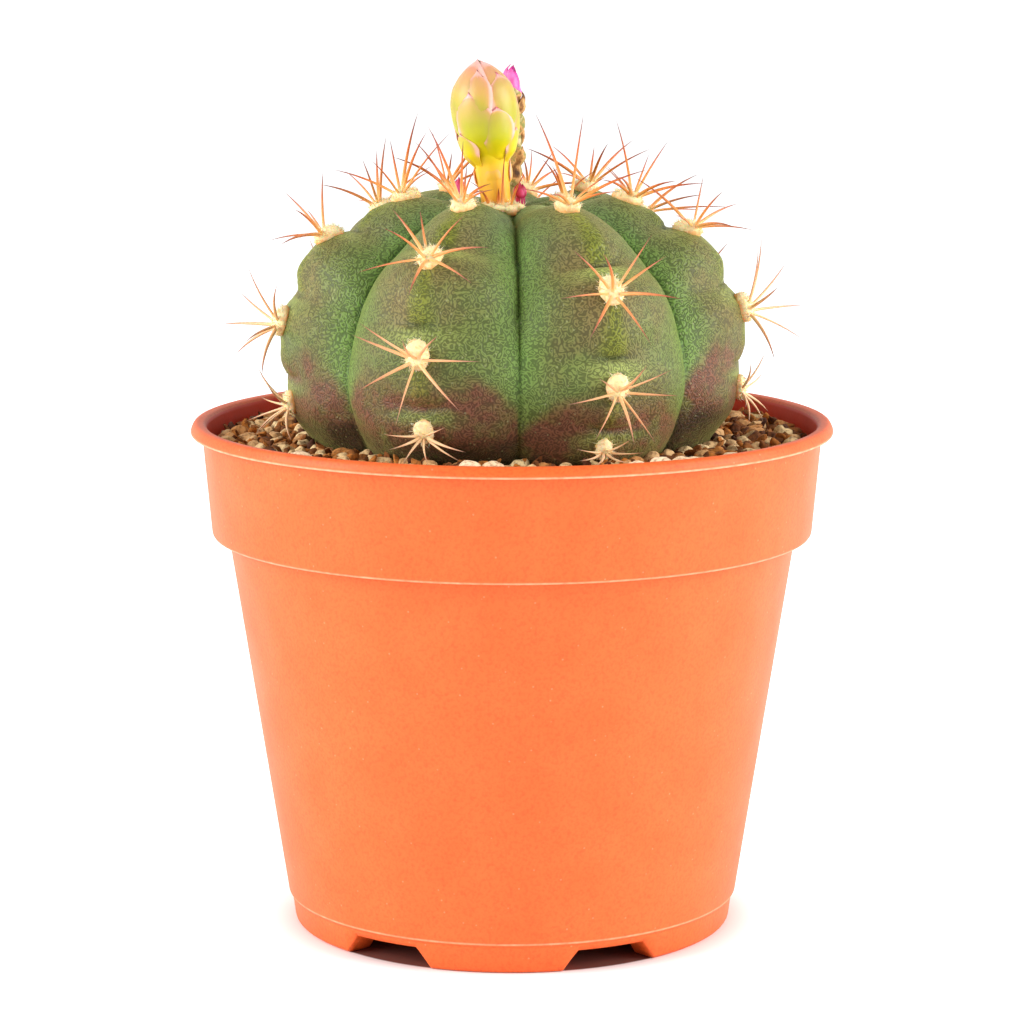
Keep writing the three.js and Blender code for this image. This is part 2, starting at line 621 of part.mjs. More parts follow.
/** The radius of an outline of [share, radius] pairs at a share, and how much it widens per unit of share. */
function outlineAt(outline, share) {
  const k = Math.max(1, outline.findIndex(([s]) => s >= share));
  const [[s0, r0], [s1, r1]] = [outline[k - 1], outline[k]];
  return { radius: THREE.MathUtils.mapLinear(share, s0, s1, r0, r1), slope: (r1 - r0) / (s1 - s0) };
}

/** A scale on a turned stem: a bulging oval cap that leans with the stem's side and flares at its tip. */
function scaleSolid(azimuth, share, { outline, length, width, long, thickness, proud, flare }) {
  const { radius, slope } = outlineAt(outline, share);
  const lean = Math.atan(slope / length) + rad(flare);
  const leaf = new THREE.SphereGeometry(1, 6, 3).rotateX(Math.PI / 2).scale(width / 2, thickness, long / 2);
  leaf.rotateX(lean).translate(0, thickness - proud - radius, share * length).rotateZ(rad(azimuth));
  return solidOf(leaf);
}

/** The bud's turned core where it stands, grown outwards by a margin. */
function budTube(margin = 0) {
  const [foot, tip] = [new THREE.Vector3(...BUD.foot), new THREE.Vector3(...BUD.tip)];
  const length = foot.distanceTo(tip);
  const outline = [[0, 0], ...BUD_OUTLINE.map(([share, r]) => [r > 0 ? r + margin : 0, share * length])];
  return solidOf(stoodOn(turned(outline, BUD.sides), foot, tip));
}

/** The flower bud: a fleshy tube that swells into a closed head of overlapping scales. */
function makeBud() {
  const [foot, tip] = [new THREE.Vector3(...BUD.foot), new THREE.Vector3(...BUD.tip)];
  const length = foot.distanceTo(tip);
  const scales = BUD_SCALES.flatMap(({ share, azimuths, width, long }) => {
    const like = { outline: BUD_OUTLINE, length, width, long, ...SCALE };
    return azimuths.map((azimuth) => scaleSolid(azimuth, share, like));
  });
  const head = scales.reduce((joined, scale) => joined.add(scale));
  return budTube().add(solidOf(stoodOn(geometryOf(head), foot, tip)));
}

/** The withered flower: a shrunken, lumpy tube with dry scales and a wisp of petals at its tip. */
function makeWitheredFlower() {
  const [foot, tip] = [new THREE.Vector3(...WITHERED.foot), new THREE.Vector3(...WITHERED.tip)];
  const length = foot.distanceTo(tip);
  const outline = [[0, 0], ...WITHERED_OUTLINE.map(([share, r]) => [r, share * length]), [0, length]];
  let flower = solidOf(turned(outline, WITHERED.sides));
  const { count, first, step, turn } = WITHERED_ROWS;
  const like = { outline: WITHERED_OUTLINE, length, ...WITHERED_SCALE };
  for (let i = 0; i < count; i++) flower = flower.add(scaleSolid(turn * i, first + step * i, like));
  for (const azimuth of PETAL.azimuths) {
    const petal = new THREE.SphereGeometry(1, 6, 4).rotateX(Math.PI / 2).scale(...PETAL.half);
    petal.rotateX(rad(PETAL.lean)).translate(0, -PETAL.out, length - PETAL.drop).rotateZ(rad(azimuth));
    flower = flower.add(solidOf(petal));
  }
  return solidOf(stoodOn(geometryOf(flower), foot, tip));
}

/** A young bud: a small pointed egg with three scales round it. */
function makeYoungBud({ foot, tip, radius }) {
  const [from, to] = [new THREE.Vector3(...foot), new THREE.Vector3(...tip)];
  const length = from.distanceTo(to);
  const outline = YOUNG_OUTLINE.map(([share, r]) => [share, radius * r]);
  let bud = solidOf(turned([[0, 0], ...outline.map(([share, r]) => [r, share * length])], 8));
  const { share: middle, azimuths, width, long } = YOUNG_SCALES;
  const like = { outline, length, width: radius * width, long: length * long, ...YOUNG_SCALE };
  for (const azimuth of azimuths) bud = bud.add(scaleSolid(azimuth, middle, like));
  return solidOf(stoodOn(geometryOf(bud), from, to));
}

const plant = new THREE.Group();
const globeHole = makeGlobe(GAP);
plant.add(meshOf("pot", makePot(), FINISHES.pot));
plant.add(meshOf("soil", makeSoil(), FINISHES.soil));
plant.add(meshOf("cactus_body", makeGlobe(), FINISHES.globe));
plant.add(meshOf("flower_bud", makeBud().subtract(globeHole), FINISHES.bud));
plant.add(meshOf("withered_flower", makeWitheredFlower().subtract(globeHole), FINISHES.withered));
for (const young of YOUNG_BUDS) {
  plant.add(meshOf(young.name, makeYoungBud(young).subtract(globeHole), FINISHES.young));
}
plant.add(meshOf("areole_flowering", makeFloweringAreole(globeHole), FINISHES.areole));
for (const { name, ...areole } of CROWN_AREOLES) {
  const solid = makeAreole({ ...areole, size: CROWN_PAD_SIZE }, globeHole);
  plant.add(meshOf(name, solid, FINISHES.areole));
}
AREOLES.forEach((areoles, rib) => {
  areoles.forEach(({ aside, ...areole }, row) => {
    const azimuth = RIB.first + (rib * 360) / RIB.count + aside;
    const solid = makeAreole({ ...areole, azimuth }, globeHole);
    plant.add(meshOf(`areole_rib${rib + 1}_${row + 1}`, solid, FINISHES.areole));
  });
});

export default plant;
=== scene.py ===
"""The looks of a potted round cactus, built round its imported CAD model.

Every size in this file is in millimetres until a mesh is made, and the meshes are in metres, +Z up, in the
CAD model's frame. The front looks along -Y. An azimuth is in degrees about +Z: 0 is the front and 90 is +X,
the right. A path is the distance along a rib's ridge from the crown. A pair of paths, or of other places, is
where a change begins and where it is complete.
"""

import logging
import math
from collections.abc import Iterator, Sequence
from dataclasses import dataclass, field
from enum import Enum

import bmesh
import bpy
import numpy as np
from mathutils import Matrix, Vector, noise


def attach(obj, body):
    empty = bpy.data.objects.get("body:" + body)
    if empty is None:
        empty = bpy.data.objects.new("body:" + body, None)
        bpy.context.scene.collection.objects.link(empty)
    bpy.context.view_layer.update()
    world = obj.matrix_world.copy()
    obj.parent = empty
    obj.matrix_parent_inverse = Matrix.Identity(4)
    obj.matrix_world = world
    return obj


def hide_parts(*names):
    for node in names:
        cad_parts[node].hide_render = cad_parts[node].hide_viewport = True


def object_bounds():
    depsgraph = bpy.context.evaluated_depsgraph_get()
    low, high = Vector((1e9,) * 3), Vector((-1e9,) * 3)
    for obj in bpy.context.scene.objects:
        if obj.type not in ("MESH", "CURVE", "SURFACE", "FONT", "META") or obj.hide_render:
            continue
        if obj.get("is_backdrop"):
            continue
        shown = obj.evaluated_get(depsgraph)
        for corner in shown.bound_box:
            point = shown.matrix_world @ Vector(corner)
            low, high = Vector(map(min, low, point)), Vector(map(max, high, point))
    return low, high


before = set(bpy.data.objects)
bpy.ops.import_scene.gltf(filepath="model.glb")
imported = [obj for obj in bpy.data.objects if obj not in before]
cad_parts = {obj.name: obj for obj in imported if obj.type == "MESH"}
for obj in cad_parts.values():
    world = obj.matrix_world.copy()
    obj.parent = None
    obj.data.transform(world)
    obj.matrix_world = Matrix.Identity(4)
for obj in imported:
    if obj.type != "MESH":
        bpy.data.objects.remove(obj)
cad_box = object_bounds()

log = logging.getLogger("cactus")

MM = 0.001
MM_PER_METRE = 1000
BODY = "root"
FLOWERING = "areole_flowering"
RIBS = 7
FIRST_RIB = -23.7  # the azimuth of the front left rib
GOLDEN_ANGLE = 137.5  # how far round its stem each scale sits from the one before

Colour = tuple[float, float, float, float]
Pair = tuple[float, float]
Point = tuple[float, float, float]
Array = np.ndarray
Faces = list[tuple[int, ...]]
Masks = dict[str, Array]
Shape = tuple[Array, Faces, Masks]
Socket = bpy.types.NodeSocket
Tree = bpy.types.NodeTree


class Slot(Enum):
    """The record's material slots."""

    POT = "pot_plastic"
    GRIT = "potting_grit"
    SKIN = "cactus_skin"
    BUD = "bud_scales"
    WITHERED = "withered_petals"
    YOUNG = "young_bud_scales"
    SPINES = "spines_and_wool"


# Helpers for nodes, meshes and pieces


def linear(hex_colour: str) -> Colour:
    """Turns an sRGB hex colour to linear.

    Args:
        hex_colour: the colour as #rrggbb.

    Returns:
        The linear red, green and blue, and an alpha of 1.
    """
    channels = [int(hex_colour[i : i + 2], 16) / 255 for i in (1, 3, 5)]
    red, green, blue = [c / 12.92 if c <= 0.04045 else ((c + 0.055) / 1.055) ** 2.4 for c in channels]
    return red, green, blue, 1.0


def add(
    tree: Tree, kind: str, inputs: dict | None = None, **settings: object
) -> bpy.types.Node:
    """Adds a node to a tree.

    Args:
        tree: the node tree.
        kind: the node's type name.
        inputs: what each input takes, by its name or number: a value, or another node's output to link.
        settings: the node's own properties.

    Returns:
        The new node.
    """
    node = tree.nodes.new(kind)
    for name, value in settings.items():
        setattr(node, name, value)
    for key, value in (inputs or {}).items():
        if isinstance(value, Socket):
            tree.links.new(value, node.inputs[key])
        else:
            node.inputs[key].default_value = value
    return node


def maths(tree: Tree, operation: str, *values: Socket | float, clamp: bool = False) -> Socket:
    """Adds a node that works out one operation on up to three values, and hands on its result."""
    inputs = dict(enumerate(values))
    return add(tree, "ShaderNodeMath", inputs, operation=operation, use_clamp=clamp).outputs[0]


def named(tree: Tree, name: str, kind: str = "FLOAT") -> Socket:
    """Adds a node that reads what a mesh holds under a name."""
    return add(tree, "GeometryNodeInputNamedAttribute", {"Name": name}, data_type=kind).outputs[0]


def stored(tree: Tree, shape: Socket, name: str, value: Socket | float, domain: str) -> Socket:
    """Adds a node that keeps a value on a shape's points or copies under a name."""
    inputs = {0: shape, "Name": name, "Value": value}
    return add(tree, "GeometryNodeStoreNamedAttribute", inputs, domain=domain).outputs[0]


def drawn(tree: Tree, least: object, most: object, seed: object, kind: str = "FLOAT") -> Socket:
    """Adds a node that draws random numbers, or vectors, between two bounds."""
    first, output = (2, 1) if kind == "FLOAT" else (0, 0)
    inputs = {first: least, first + 1: most, "Seed": seed}
    return add(tree, "FunctionNodeRandomValue", inputs, data_type=kind).outputs[output]


def copies(tree: Tree, points: Socket, thing: Socket, turned: Socket, scale: Socket) -> Socket:
    """Adds a node that stands a turned and scaled copy of a thing on each point."""
    inputs = {"Points": points, "Instance": thing, "Rotation": turned, "Scale": scale}
    return add(tree, "GeometryNodeInstanceOnPoints", inputs).outputs[0]


def smooth(value: Array | float, start: float, end: float) -> Array:
    """Eases from 0 at start to 1 at end."""
    share = np.clip((value - start) / (end - start), 0, 1)
    return share * share * (3 - 2 * share)


def hump(value: Array | float, width: float) -> Array:
    """A bell of height 1 round 0, that falls to about a third at the width."""
    return np.exp(-((value / width) ** 2))


def heading(azimuth: Array | float) -> Array:
    """The unit vectors at azimuths in degrees."""
    angle = np.radians(azimuth)
    return np.stack([np.sin(angle), -np.cos(angle), np.zeros_like(angle)], axis=-1)


def circle(azimuths: Array, radius: Array | float, height: float) -> Array:
    """The points at azimuths, radii and a height, one a row."""
    return heading(azimuths) * np.reshape(radius, (-1, 1)) + np.array([0, 0, height])


def unit(vector: Array) -> Array:
    """The vector at a length of 1."""
    return vector / np.linalg.norm(vector)


def ripple(points: Array, size: float) -> Array:
    """Smooth noise from about -1 to 1 at each point.

    Args:
        points: places in millimetres, one a row.
        size: how large the noise's lumps are, in millimetres.

    Returns:
        The noise, one value a point.
    """
    return np.array([noise.noise(Vector(point / size)) for point in points])


def grid_faces(rows: int, columns: int, closed: bool) -> Faces:
    """The quads of a grid of points.

    Args:
        rows: how many rows of points there are.
        columns: how many points a row has.
        closed: whether a row's last point joins its first.

    Returns:
        The corner numbers of each face.
    """
    across = range(columns if closed else columns - 1)
    faces = []
    for row in range(rows - 1):
        for column in across:
            near, far = row * columns, (row + 1) * columns
            turn = (column + 1) % columns
            faces.append((near + column, near + turn, far + turn, far + column))
    return faces


def mesh_piece(
    name: str,
    points: Array,
    faces: Faces,
    material: bpy.types.Material,
    masks: Masks | None = None,
    crease: float = 60,
) -> bpy.types.Object:
    """Makes a closed, smoothly shaded piece whose faces point outwards.

    Args:
        name: the piece's name.
        points: its points in millimetres.
        faces: the corner numbers of its faces.
        material: its finish.
        masks: values kept on its points, by name.
        crease: edges sharper than this many degrees stay crisp.

    Returns:
        The piece, at the origin.
    """
    mesh = bpy.data.meshes.new(name)
    mesh.from_pydata((np.asarray(points) * MM).tolist(), [], faces)
    for mask, values in (masks or {}).items():
        layer = mesh.attributes.new(mask, "FLOAT", "POINT")
        layer.data.foreach_set("value", np.asarray(values, dtype=np.float32))
    shape = bmesh.new()
    shape.from_mesh(mesh)
    bmesh.ops.remove_doubles(shape, verts=shape.verts, dist=1e-6)
    bmesh.ops.dissolve_degenerate(shape, edges=shape.edges, dist=1e-7)
    bmesh.ops.recalc_face_normals(shape, faces=shape.faces)
    shape.to_mesh(mesh)
    shape.free()
    mesh.materials.append(material)
    mesh.shade_smooth()
    mesh.set_sharp_from_angle(angle=math.radians(crease))
    piece = bpy.data.objects.new(name, mesh)
    bpy.context.scene.collection.objects.link(piece)
    return piece


def ball() -> tuple[Array, Faces]:
    """Makes a round ball with a radius of 1.

    Returns:
        Its points and faces.
    """
    shape = bmesh.new()
    bmesh.ops.create_icosphere(shape, subdivisions=3, radius=1)
    points = np.array([v.co for v in shape.verts])
    faces = [tuple(v.index for v in f.verts) for f in shape.faces]
    shape.free()
    return points, faces


def joined(parts: Sequence[Shape]) -> Shape:
    """Puts several shapes in one.

    Args:
        parts: each shape's points, faces and masks.

    Returns:
        The points, faces and masks of them all.
    """
    points, faces, masks, start = [], [], {}, 0
    for part_points, part_faces, part_masks in parts:
        points.append(part_points)
        faces += [tuple(corner + start for corner in face) for face in part_faces]
        for mask, values in part_masks.items():
            masks.setdefault(mask, []).append(values)
        start += len(part_points)
    return np.concatenate(points), faces, {mask: np.concatenate(values) for mask, values in masks.items()}


def bare_host(name: str, points: Array, faces: Faces) -> bpy.types.Object:
    """Makes the bare object that a geometry node tree grows something on.

    Args:
        name: the name of the piece that grows on it.
        points: its points in millimetres.
        faces: the corner numbers of its faces.

    Returns:
        The object, at the origin.
    """
    mesh = bpy.data.meshes.new(name)
    mesh.from_pydata((points * MM).tolist(), [], faces)
    host = bpy.data.objects.new(name, mesh)
    bpy.context.scene.collection.objects.link(host)
    return host


def grown(host: bpy.types.Object, tree: Tree, values: dict[str, object]) -> bpy.types.Object:
    """Runs a node tree on a host and keeps its result as the host's plain mesh.

    Args:
        host: the object whose mesh the tree starts from.
        tree: the geometry node tree.
        values: the tree's inputs, by name.

    Returns:
        The host, with the result as its mesh and no modifier.
    """
    modifier = host.modifiers.new(tree.name, "NODES")
    modifier.node_group = tree
    for item in tree.interface.items_tree:
        if item.item_type == "SOCKET" and item.in_out == "INPUT" and item.name in values:
            modifier[item.identifier] = values[item.name]
    depsgraph = bpy.context.evaluated_depsgraph_get()
    evaluated = host.evaluated_get(depsgraph)
    mesh = bpy.data.meshes.new_from_object(evaluated, preserve_all_data_layers=True, depsgraph=depsgraph)
    host.modifiers.remove(modifier)
    host.data = mesh
    return host


def new_tree(name: str, **sizes: str) -> tuple[Tree, bpy.types.NodeOutputs]:
    """Starts a geometry node tree.

    Args:
        name: the tree's name.
        sizes: the kind of socket of each named input.

    Returns:
        The tree and what it is given, by name.
    """
    tree = bpy.data.node_groups.new(name, "GeometryNodeTree")
    tree.interface.new_socket("Geometry", in_out="INPUT", socket_type="NodeSocketGeometry")
    tree.interface.new_socket("Geometry", in_out="OUTPUT", socket_type="NodeSocketGeometry")
    for size, kind in sizes.items():
        tree.interface.new_socket(size, in_out="INPUT", socket_type=f"NodeSocket{kind}")
    return tree, add(tree, "NodeGroupInput").outputs


def end_tree(tree: Tree, shape: Socket, material: Socket) -> None:
    """Ends a geometry node tree: its copies are made real, take their finish and go out.

    Args:
        tree: the node tree.
        shape: what the tree has made.
        material: the finish that it takes.
    """
    real = add(tree, "GeometryNodeRealizeInstances", {0: shape}).outputs[0]
    shaded = add(tree, "GeometryNodeSetShadeSmooth", {0: real}).outputs[0]
    dressed = add(tree, "GeometryNodeSetMaterial", {0: shaded, 2: material}).outputs[0]
    add(tree, "NodeGroupOutput", {0: dressed})


def settle(piece: bpy.types.Object, slot: Slot, *nodes: str) -> None:
    """Rides a finished piece on the body, hides the CAD nodes that it stands for and logs them.

    Args:
        piece: the piece.
        slot: its material slot. It is not used.
        nodes: the CAD nodes that it stands for, if any.
    """
    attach(piece, BODY)
    if nodes:
        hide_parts(*nodes)
    stands_for = ", ".join(nodes) or "no node"
    log.info("%s: %d faces, stands for %s", piece.name, len(piece.data.polygons), stands_for)


def aimed(
    name: str,
    data: bpy.types.Camera | bpy.types.Light,
    place: Point,
    target: Point,
) -> bpy.types.Object:
    """Puts a camera or a light in its place and turns it to what it looks at.

    Args:
        name: its name.
        data: the camera or the light.
        place: where it stands.
        target: the point that it faces.

    Returns:
        The object.
    """
    thing = bpy.data.objects.new(name, data)
    thing.location = Vector(place) * MM
    towards = (Vector(target) - Vector(place)).normalized()
    thing.rotation_euler = towards.to_track_quat("-Z", "Y").to_euler()
    bpy.context.scene.collection.objects.link(thing)
    return thing


# Finishes


@dataclass
class PaintBox:
    """The nodes that a finish is painted with. Each method makes one and hands on its output."""

    tree: Tree
    shader: bpy.types.Node

    def place(self) -> Socket:
        """Each point's place on its object, in metres."""
        return add(self.tree, "ShaderNodeTexCoord").outputs["Object"]

    def mask(self, name: str) -> Socket:
        """The mask that the mesh holds under a name."""
        return add(self.tree, "ShaderNodeAttribute", attribute_name=name).outputs["Fac"]

    def noise(self, place: Socket, size: float, detail: float, **more: float) -> Socket:
        """Noise from 0 to 1, whose lumps are about a size in millimetres."""
        inputs = {"Vector": place, "Scale": MM_PER_METRE / size, "Detail": detail, **more}
        return add(self.tree, "ShaderNodeTexNoise", inputs).outputs[0]

    def cells(self, place: Socket, size: float) -> Socket:
        """The distance to the nearest of many points, strewn about a size in millimetres apart."""
        inputs = {"Vector": place, "Scale": MM_PER_METRE / size}
        return add(self.tree, "ShaderNodeTexVoronoi", inputs).outputs["Distance"]

    def ranged(
        self, value: Socket, low: float = 0, high: float = 1, start: float = 0, end: float = 1
    ) -> Socket:
        """Turns a value between low and high into one between start and end."""
        inputs = {0: value, 1: low, 2: high, 3: start, 4: end}
        return add(self.tree, "ShaderNodeMapRange", inputs).outputs[0]

    def maths(self, operation: str, *values: Socket | float, clamp: bool = False) -> Socket:
        """Works out one operation on up to three values."""
        return maths(self.tree, operation, *values, clamp=clamp)

    def mix(self, amount: Socket, under: Socket | Colour, over: Socket | Colour) -> Socket:
        """Lays one colour over another, by an amount from 0 to 1."""
        inputs = {0: amount, 6: under, 7: over}
        return add(self.tree, "ShaderNodeMix", inputs, data_type="RGBA").outputs[2]

    def length(self, vector: Socket) -> Socket:
        """The length of a vector."""
        return add(self.tree, "ShaderNodeVectorMath", {0: vector}, operation="LENGTH").outputs["Value"]

    def ramp(self, value: Socket, tones: Sequence[tuple[float, str]]) -> Socket:
        """Runs a value through tones.

        Args:
            value: the value.
            tones: each tone as its hex colour, after the value at which it stands.

        Returns:
            The colour.
        """
        node = add(self.tree, "ShaderNodeValToRGB", {0: value})
        for _ in tones[2:]:
            node.color_ramp.elements.new(0.5)
        for element, (position, tone) in zip(node.color_ramp.elements, tones):
            element.position = position
            element.color = linear(tone)
        return node.outputs[0]

    def bump(self, height: Socket, strength: float, depth: float) -> Socket:
        """The normals of a relief that is so many millimetres deep."""
        inputs = {"Strength": strength, "Distance": depth * MM, "Height": height}
        return add(self.tree, "ShaderNodeBump", inputs).outputs[0]

    def give(self, **inputs: Socket | float | tuple[float, ...]) -> None:
        """Links or sets the shader's inputs.

        Args:
            inputs: an output or a constant for each input, which is named with _ for a space.
        """
        for name, value in inputs.items():
            socket = self.shader.inputs[name.replace("_", " ")]
            if isinstance(value, Socket):
                self.tree.links.new(value, socket)
            else:
                socket.default_value = value


@dataclass(frozen=True)
class Finish:
    """A finish: a principled shader whose colour, roughness and bump come from its own nodes."""

    name: str

    def material(self) -> bpy.types.Material:
        """Makes the finish's material.

        Returns:
            The material, painted.
        """
        material = bpy.data.materials.new(self.name)
        material.use_nodes = True
        tree = material.node_tree
        tree.nodes.clear()
        shader = add(tree, "ShaderNodeBsdfPrincipled")
        add(tree, "ShaderNodeOutputMaterial", {"Surface": shader.outputs[0]})
        self.paint(PaintBox(tree, shader))
        return material

    def paint(self, box: PaintBox) -> None:
        """Adds the nodes that colour the shader."""
        raise NotImplementedError


@dataclass(frozen=True)
class MouldedPolypropylene(Finish):
    """Injection-moulded polypropylene: matt and faintly mottled, with pale lines at its edges where the mould
    parted, partly painted highlight, and its inner wall painted a deeper red as shade.
    """

    base: str = "#ee6c30"
    deep: str = "#e35d24"
    speck: str = "#b83c14"
    # The pale colour of the flecks and of the edge lines, which are partly painted highlight.
    flash: str = "#ffc39c"
    # Painted shade: the deeper red of the inner wall below the lip.
    inside: str = "#e03404"
    mottle_size: float = 9
    grain_size: float = 0.55  # the spark-eroded grain is finer, but would not show
    fleck_size: float = 2.6
    break_size: float = 1.6
    # Each pale edge line's height, the least radius where it shows, and its strength.
    # The lines are mould flash, partly painted highlight.
    flash_and_highlight_lines: tuple[Point, ...] = (
        (74.3, 50, 0.8),
        (5.7, 42.2, 0.7),
        (93.4, 58.5, 0.95),
    )
    flash_width: float = 0.3
    flash_gain: float = 1.3

    def paint(self, box: PaintBox) -> None:
        """Mottles the colour, lays the flecks and the edge lines of flash and painted highlight on it,
        deepens the inner wall as painted shade and grains the surface.

        Args:
            box: what the finish is painted with.
        """
        place = box.place()
        mottle = box.noise(place, self.mottle_size, 5)
        grain = box.noise(place, self.grain_size, 3)
        colour = box.mix(mottle, linear(self.base), linear(self.deep))
        colour = box.mix(box.ranged(grain, 0.45, 0.75, 0.0, 0.45), colour, linear(self.speck))
        near = box.ranged(box.cells(place, self.fleck_size), 0.04, 0.09, 0.2, 0.0)
        colour = box.mix(near, colour, linear(self.flash))
        # Pale lines along the collar foot, the band and the rim's underside: mould flash, partly painted
        # highlight.
        for line in self.lines(box, place):
            colour = box.mix(line, colour, linear(self.flash))
        # Painted shade: the inner wall below the lip is deepened to a darker red.
        colour = box.mix(box.mask("painted_inside_shade"), colour, linear(self.inside))
        box.give(
            Base_Color=colour,
            Roughness=box.ranged(mottle, start=0.4, end=0.55),
            Specular_IOR_Level=0.3,
            Normal=box.bump(grain, 0.4, 0.08),
        )

    def lines(self, box: PaintBox, place: Socket) -> Iterator[Socket]:
        """Finds how strongly each pale edge line, mould flash that is partly painted highlight, shows.

        Args:
            box: what the finish is painted with.
            place: each point's place.

        Yields:
            Each line's amount.
        """
        x, y, z = add(box.tree, "ShaderNodeSeparateXYZ", {0: place}).outputs
        radius = box.length(add(box.tree, "ShaderNodeCombineXYZ", {0: x, 1: y}).outputs[0])
        broken = box.noise(place, self.break_size, 2)
        for height, least, strength in self.flash_and_highlight_lines:
            away = box.maths("ABSOLUTE", box.maths("SUBTRACT", z, height * MM))
            on = box.ranged(away, 0.0, self.flash_width * MM, self.flash_gain * strength, 0.0)
            seen = box.maths("MULTIPLY", on, box.maths("GREATER_THAN", radius, least * MM))
            yield box.maths("MULTIPLY", seen, broken)


@dataclass(frozen=True)
class CactusEpidermis(Finish):
    """A cactus's waxy epidermis: grey-green with a fine puckered grain, fresh green in the grooves, a
    yellow-green chin below each areole, and stained purple-brown by the sun near the soil. Painted shade
    darkens the creases, the groove seams and, with the stain, the skin near the grit; a painted highlight
    lightens a band below each crease."""

    green: str = "#5c6b33"
    grey: str = "#625d33"
    fresh: str = "#628a3a"
    young: str = "#54764a"
    # Painted highlight: the band below each crease.
    lit: str = "#8a964e"
    # Painted shade: the dark line along the bottom of each groove.
    seam: str = "#24460f"
    chin: str = "#697218"
    tan: str = "#705f38"
    stain: str = "#6c4432"
    # Partly the stain, partly painted shade: the skin below the lowest areoles, down to the grit.
    deep_stain_and_shade: str = "#38211a"
    pale: str = "#a9ad7a"
    bloom: str = "#c2c46a"
    # Painted shade: the dark line along each crease.
    crease: str = "#3f4d24"
    dark_dot: str = "#3d4416"
    pucker_size: float = 0.85
    pucker_folds: float = 24
    patch_size: float = 11
    mottle_size: float = 4
    dot_size: float = 1.5
    dark_dot_size: float = 1.2

    def layers(self) -> tuple[tuple[str, str, float, float], ...]:
        """The tones laid over the grey-green in turn: each one's mask, colour, and least and most amount."""
        return (
            ("tan", self.tan, 0.25, 0.9),
            ("young", self.young, 0.3, 0.8),
            # painted highlight below the creases
            ("lit", self.lit, 0.4, 1.0),
            ("fresh", self.fresh, 0.3, 0.85),
            ("chin", self.chin, 0.6, 0.9),
            # painted shade in the creases
            ("crease", self.crease, 0.5, 0.75),
            ("stain", self.stain, 0.45, 1.35),
            # the stain deepened by painted shade near the grit
            ("base", self.deep_stain_and_shade, 0.6, 1.2),
            # painted shade along the grooves
            ("seam", self.seam, 0.7, 1.1),
        )

    def paint(self, box: PaintBox) -> None:
        """Lays the grooves, chins, stains, puckers, dots, painted shade and highlight over the grey-green.

        Args:
            box: what the finish is painted with.
        """
        place = box.place()
        patch = box.noise(place, self.patch_size, 4, Roughness=0.6)
        mottle = box.noise(place, self.mottle_size, 3)
        worm = box.noise(place, self.pucker_size, 0.4)
        pucker = box.maths("SINE", box.maths("MULTIPLY", worm, self.pucker_folds))
        colour = box.mix(box.ranged(patch, 0.4, 0.65), linear(self.green), linear(self.grey))
        for mask, tone, least, most in self.layers():
            grain = mottle if mask in ("stain", "base") else patch
            broken = box.ranged(grain, 0.35, 0.65, least, most)
            amount = box.maths("MULTIPLY", box.mask(mask), broken, clamp=True)
            colour = box.mix(amount, colour, linear(tone))
        shade = box.ranged(pucker, -0.6, 1.0, 0.64, 1.46)
        colour = add(
            box.tree, "ShaderNodeVectorMath", {0: colour, "Scale": shade}, operation="SCALE"
        ).outputs[0]
        dot = box.ranged(box.cells(place, self.dot_size), 0.07, 0.16, 0.4, 0.0)
        colour = box.mix(dot, colour, linear(self.pale))
        dark = box.ranged(box.cells(place, self.dark_dot_size), 0.2, 0.32, 0.8, 0.0)
        dotted = box.maths("MULTIPLY_ADD", box.mask("lit"), 0.6, box.mask("chin"), clamp=True)
        colour = box.mix(box.maths("MULTIPLY", dark, dotted), colour, linear(self.dark_dot))
        box.give(
            Base_Color=colour,
            Roughness=box.ranged(patch, start=0.42, end=0.62),
            Normal=box.bump(pucker, 0.5, 0.08),
            Specular_IOR_Level=0.3,
            Sheen_Weight=0.5,
            Sheen_Roughness=0.45,
            Sheen_Tint=linear(self.bloom),
            Subsurface_Weight=0.08,
            Subsurface_Radius=(0.4, 0.8, 0.2),
            Subsurface_Scale=1.5 * MM,
        )


@dataclass(frozen=True)
class SpineHorn(Finish):
    """A spine's horn: hard and slightly glossy, cream at its root, then orange, with a red-brown point."""

    tones: tuple[tuple[float, str], ...] = (
        (0.0, "#f6ce88"),
        (0.22, "#ec9a4a"),
        (0.52, "#d4702f"),
        (0.8, "#9a4226"),
        (1.0, "#561d25"),
    )
    pale: str = "#f6d3a4"
    streak_size: float = 0.9
    wander: float = 0.25

    def paint(self, box: PaintBox) -> None:
        """Runs the tones from root to point and pales the old spines.

        Args:
            box: what the finish is painted with.
        """
        along = box.mask("along")
        streak = box.noise(box.place(), self.streak_size, 2)
        moved = box.maths("MULTIPLY_ADD", streak, self.wander, along)
        tone = box.ramp(box.maths("SUBTRACT", moved, self.wander / 2), self.tones)
        amount = box.maths("MULTIPLY", box.mask("age"), box.ranged(along, 0.5, 1.0, 1.0, 0.25))
        box.give(
            Base_Color=box.mix(amount, tone, linear(self.pale)),
            Roughness=0.38,
            Normal=box.bump(streak, 0.3, 0.05),
            Subsurface_Weight=0.15,
            Subsurface_Scale=0.5 * MM,
        )


@dataclass(frozen=True)
class AreoleWool(Finish):
    """An areole's wool: short cream felt, matt, and tan where it is old or meets the skin."""

    cream: str = "#fce4b0"
    tan: str = "#e8a862"
    tuft_size: float = 0.9

    def paint(self, box: PaintBox) -> None:
        """Breaks the cream with tan tufts and darkens the pad's foot.

        Args:
            box: what the finish is painted with.
        """
        tuft = box.noise(box.place(), self.tuft_size, 3)
        lump = box.maths("ADD", tuft, box.mask("rise"))
        amount = box.ranged(lump, 0.35, 0.95, 0.9, 0.0)
        box.give(
            Base_Color=box.mix(amount, linear(self.cream), linear(self.tan)),
            Roughness=0.95,
            Normal=box.bump(tuft, 0.6, 0.2),
            Subsurface_Weight=0.5,
            Subsurface_Scale=1.4 * MM,
        )


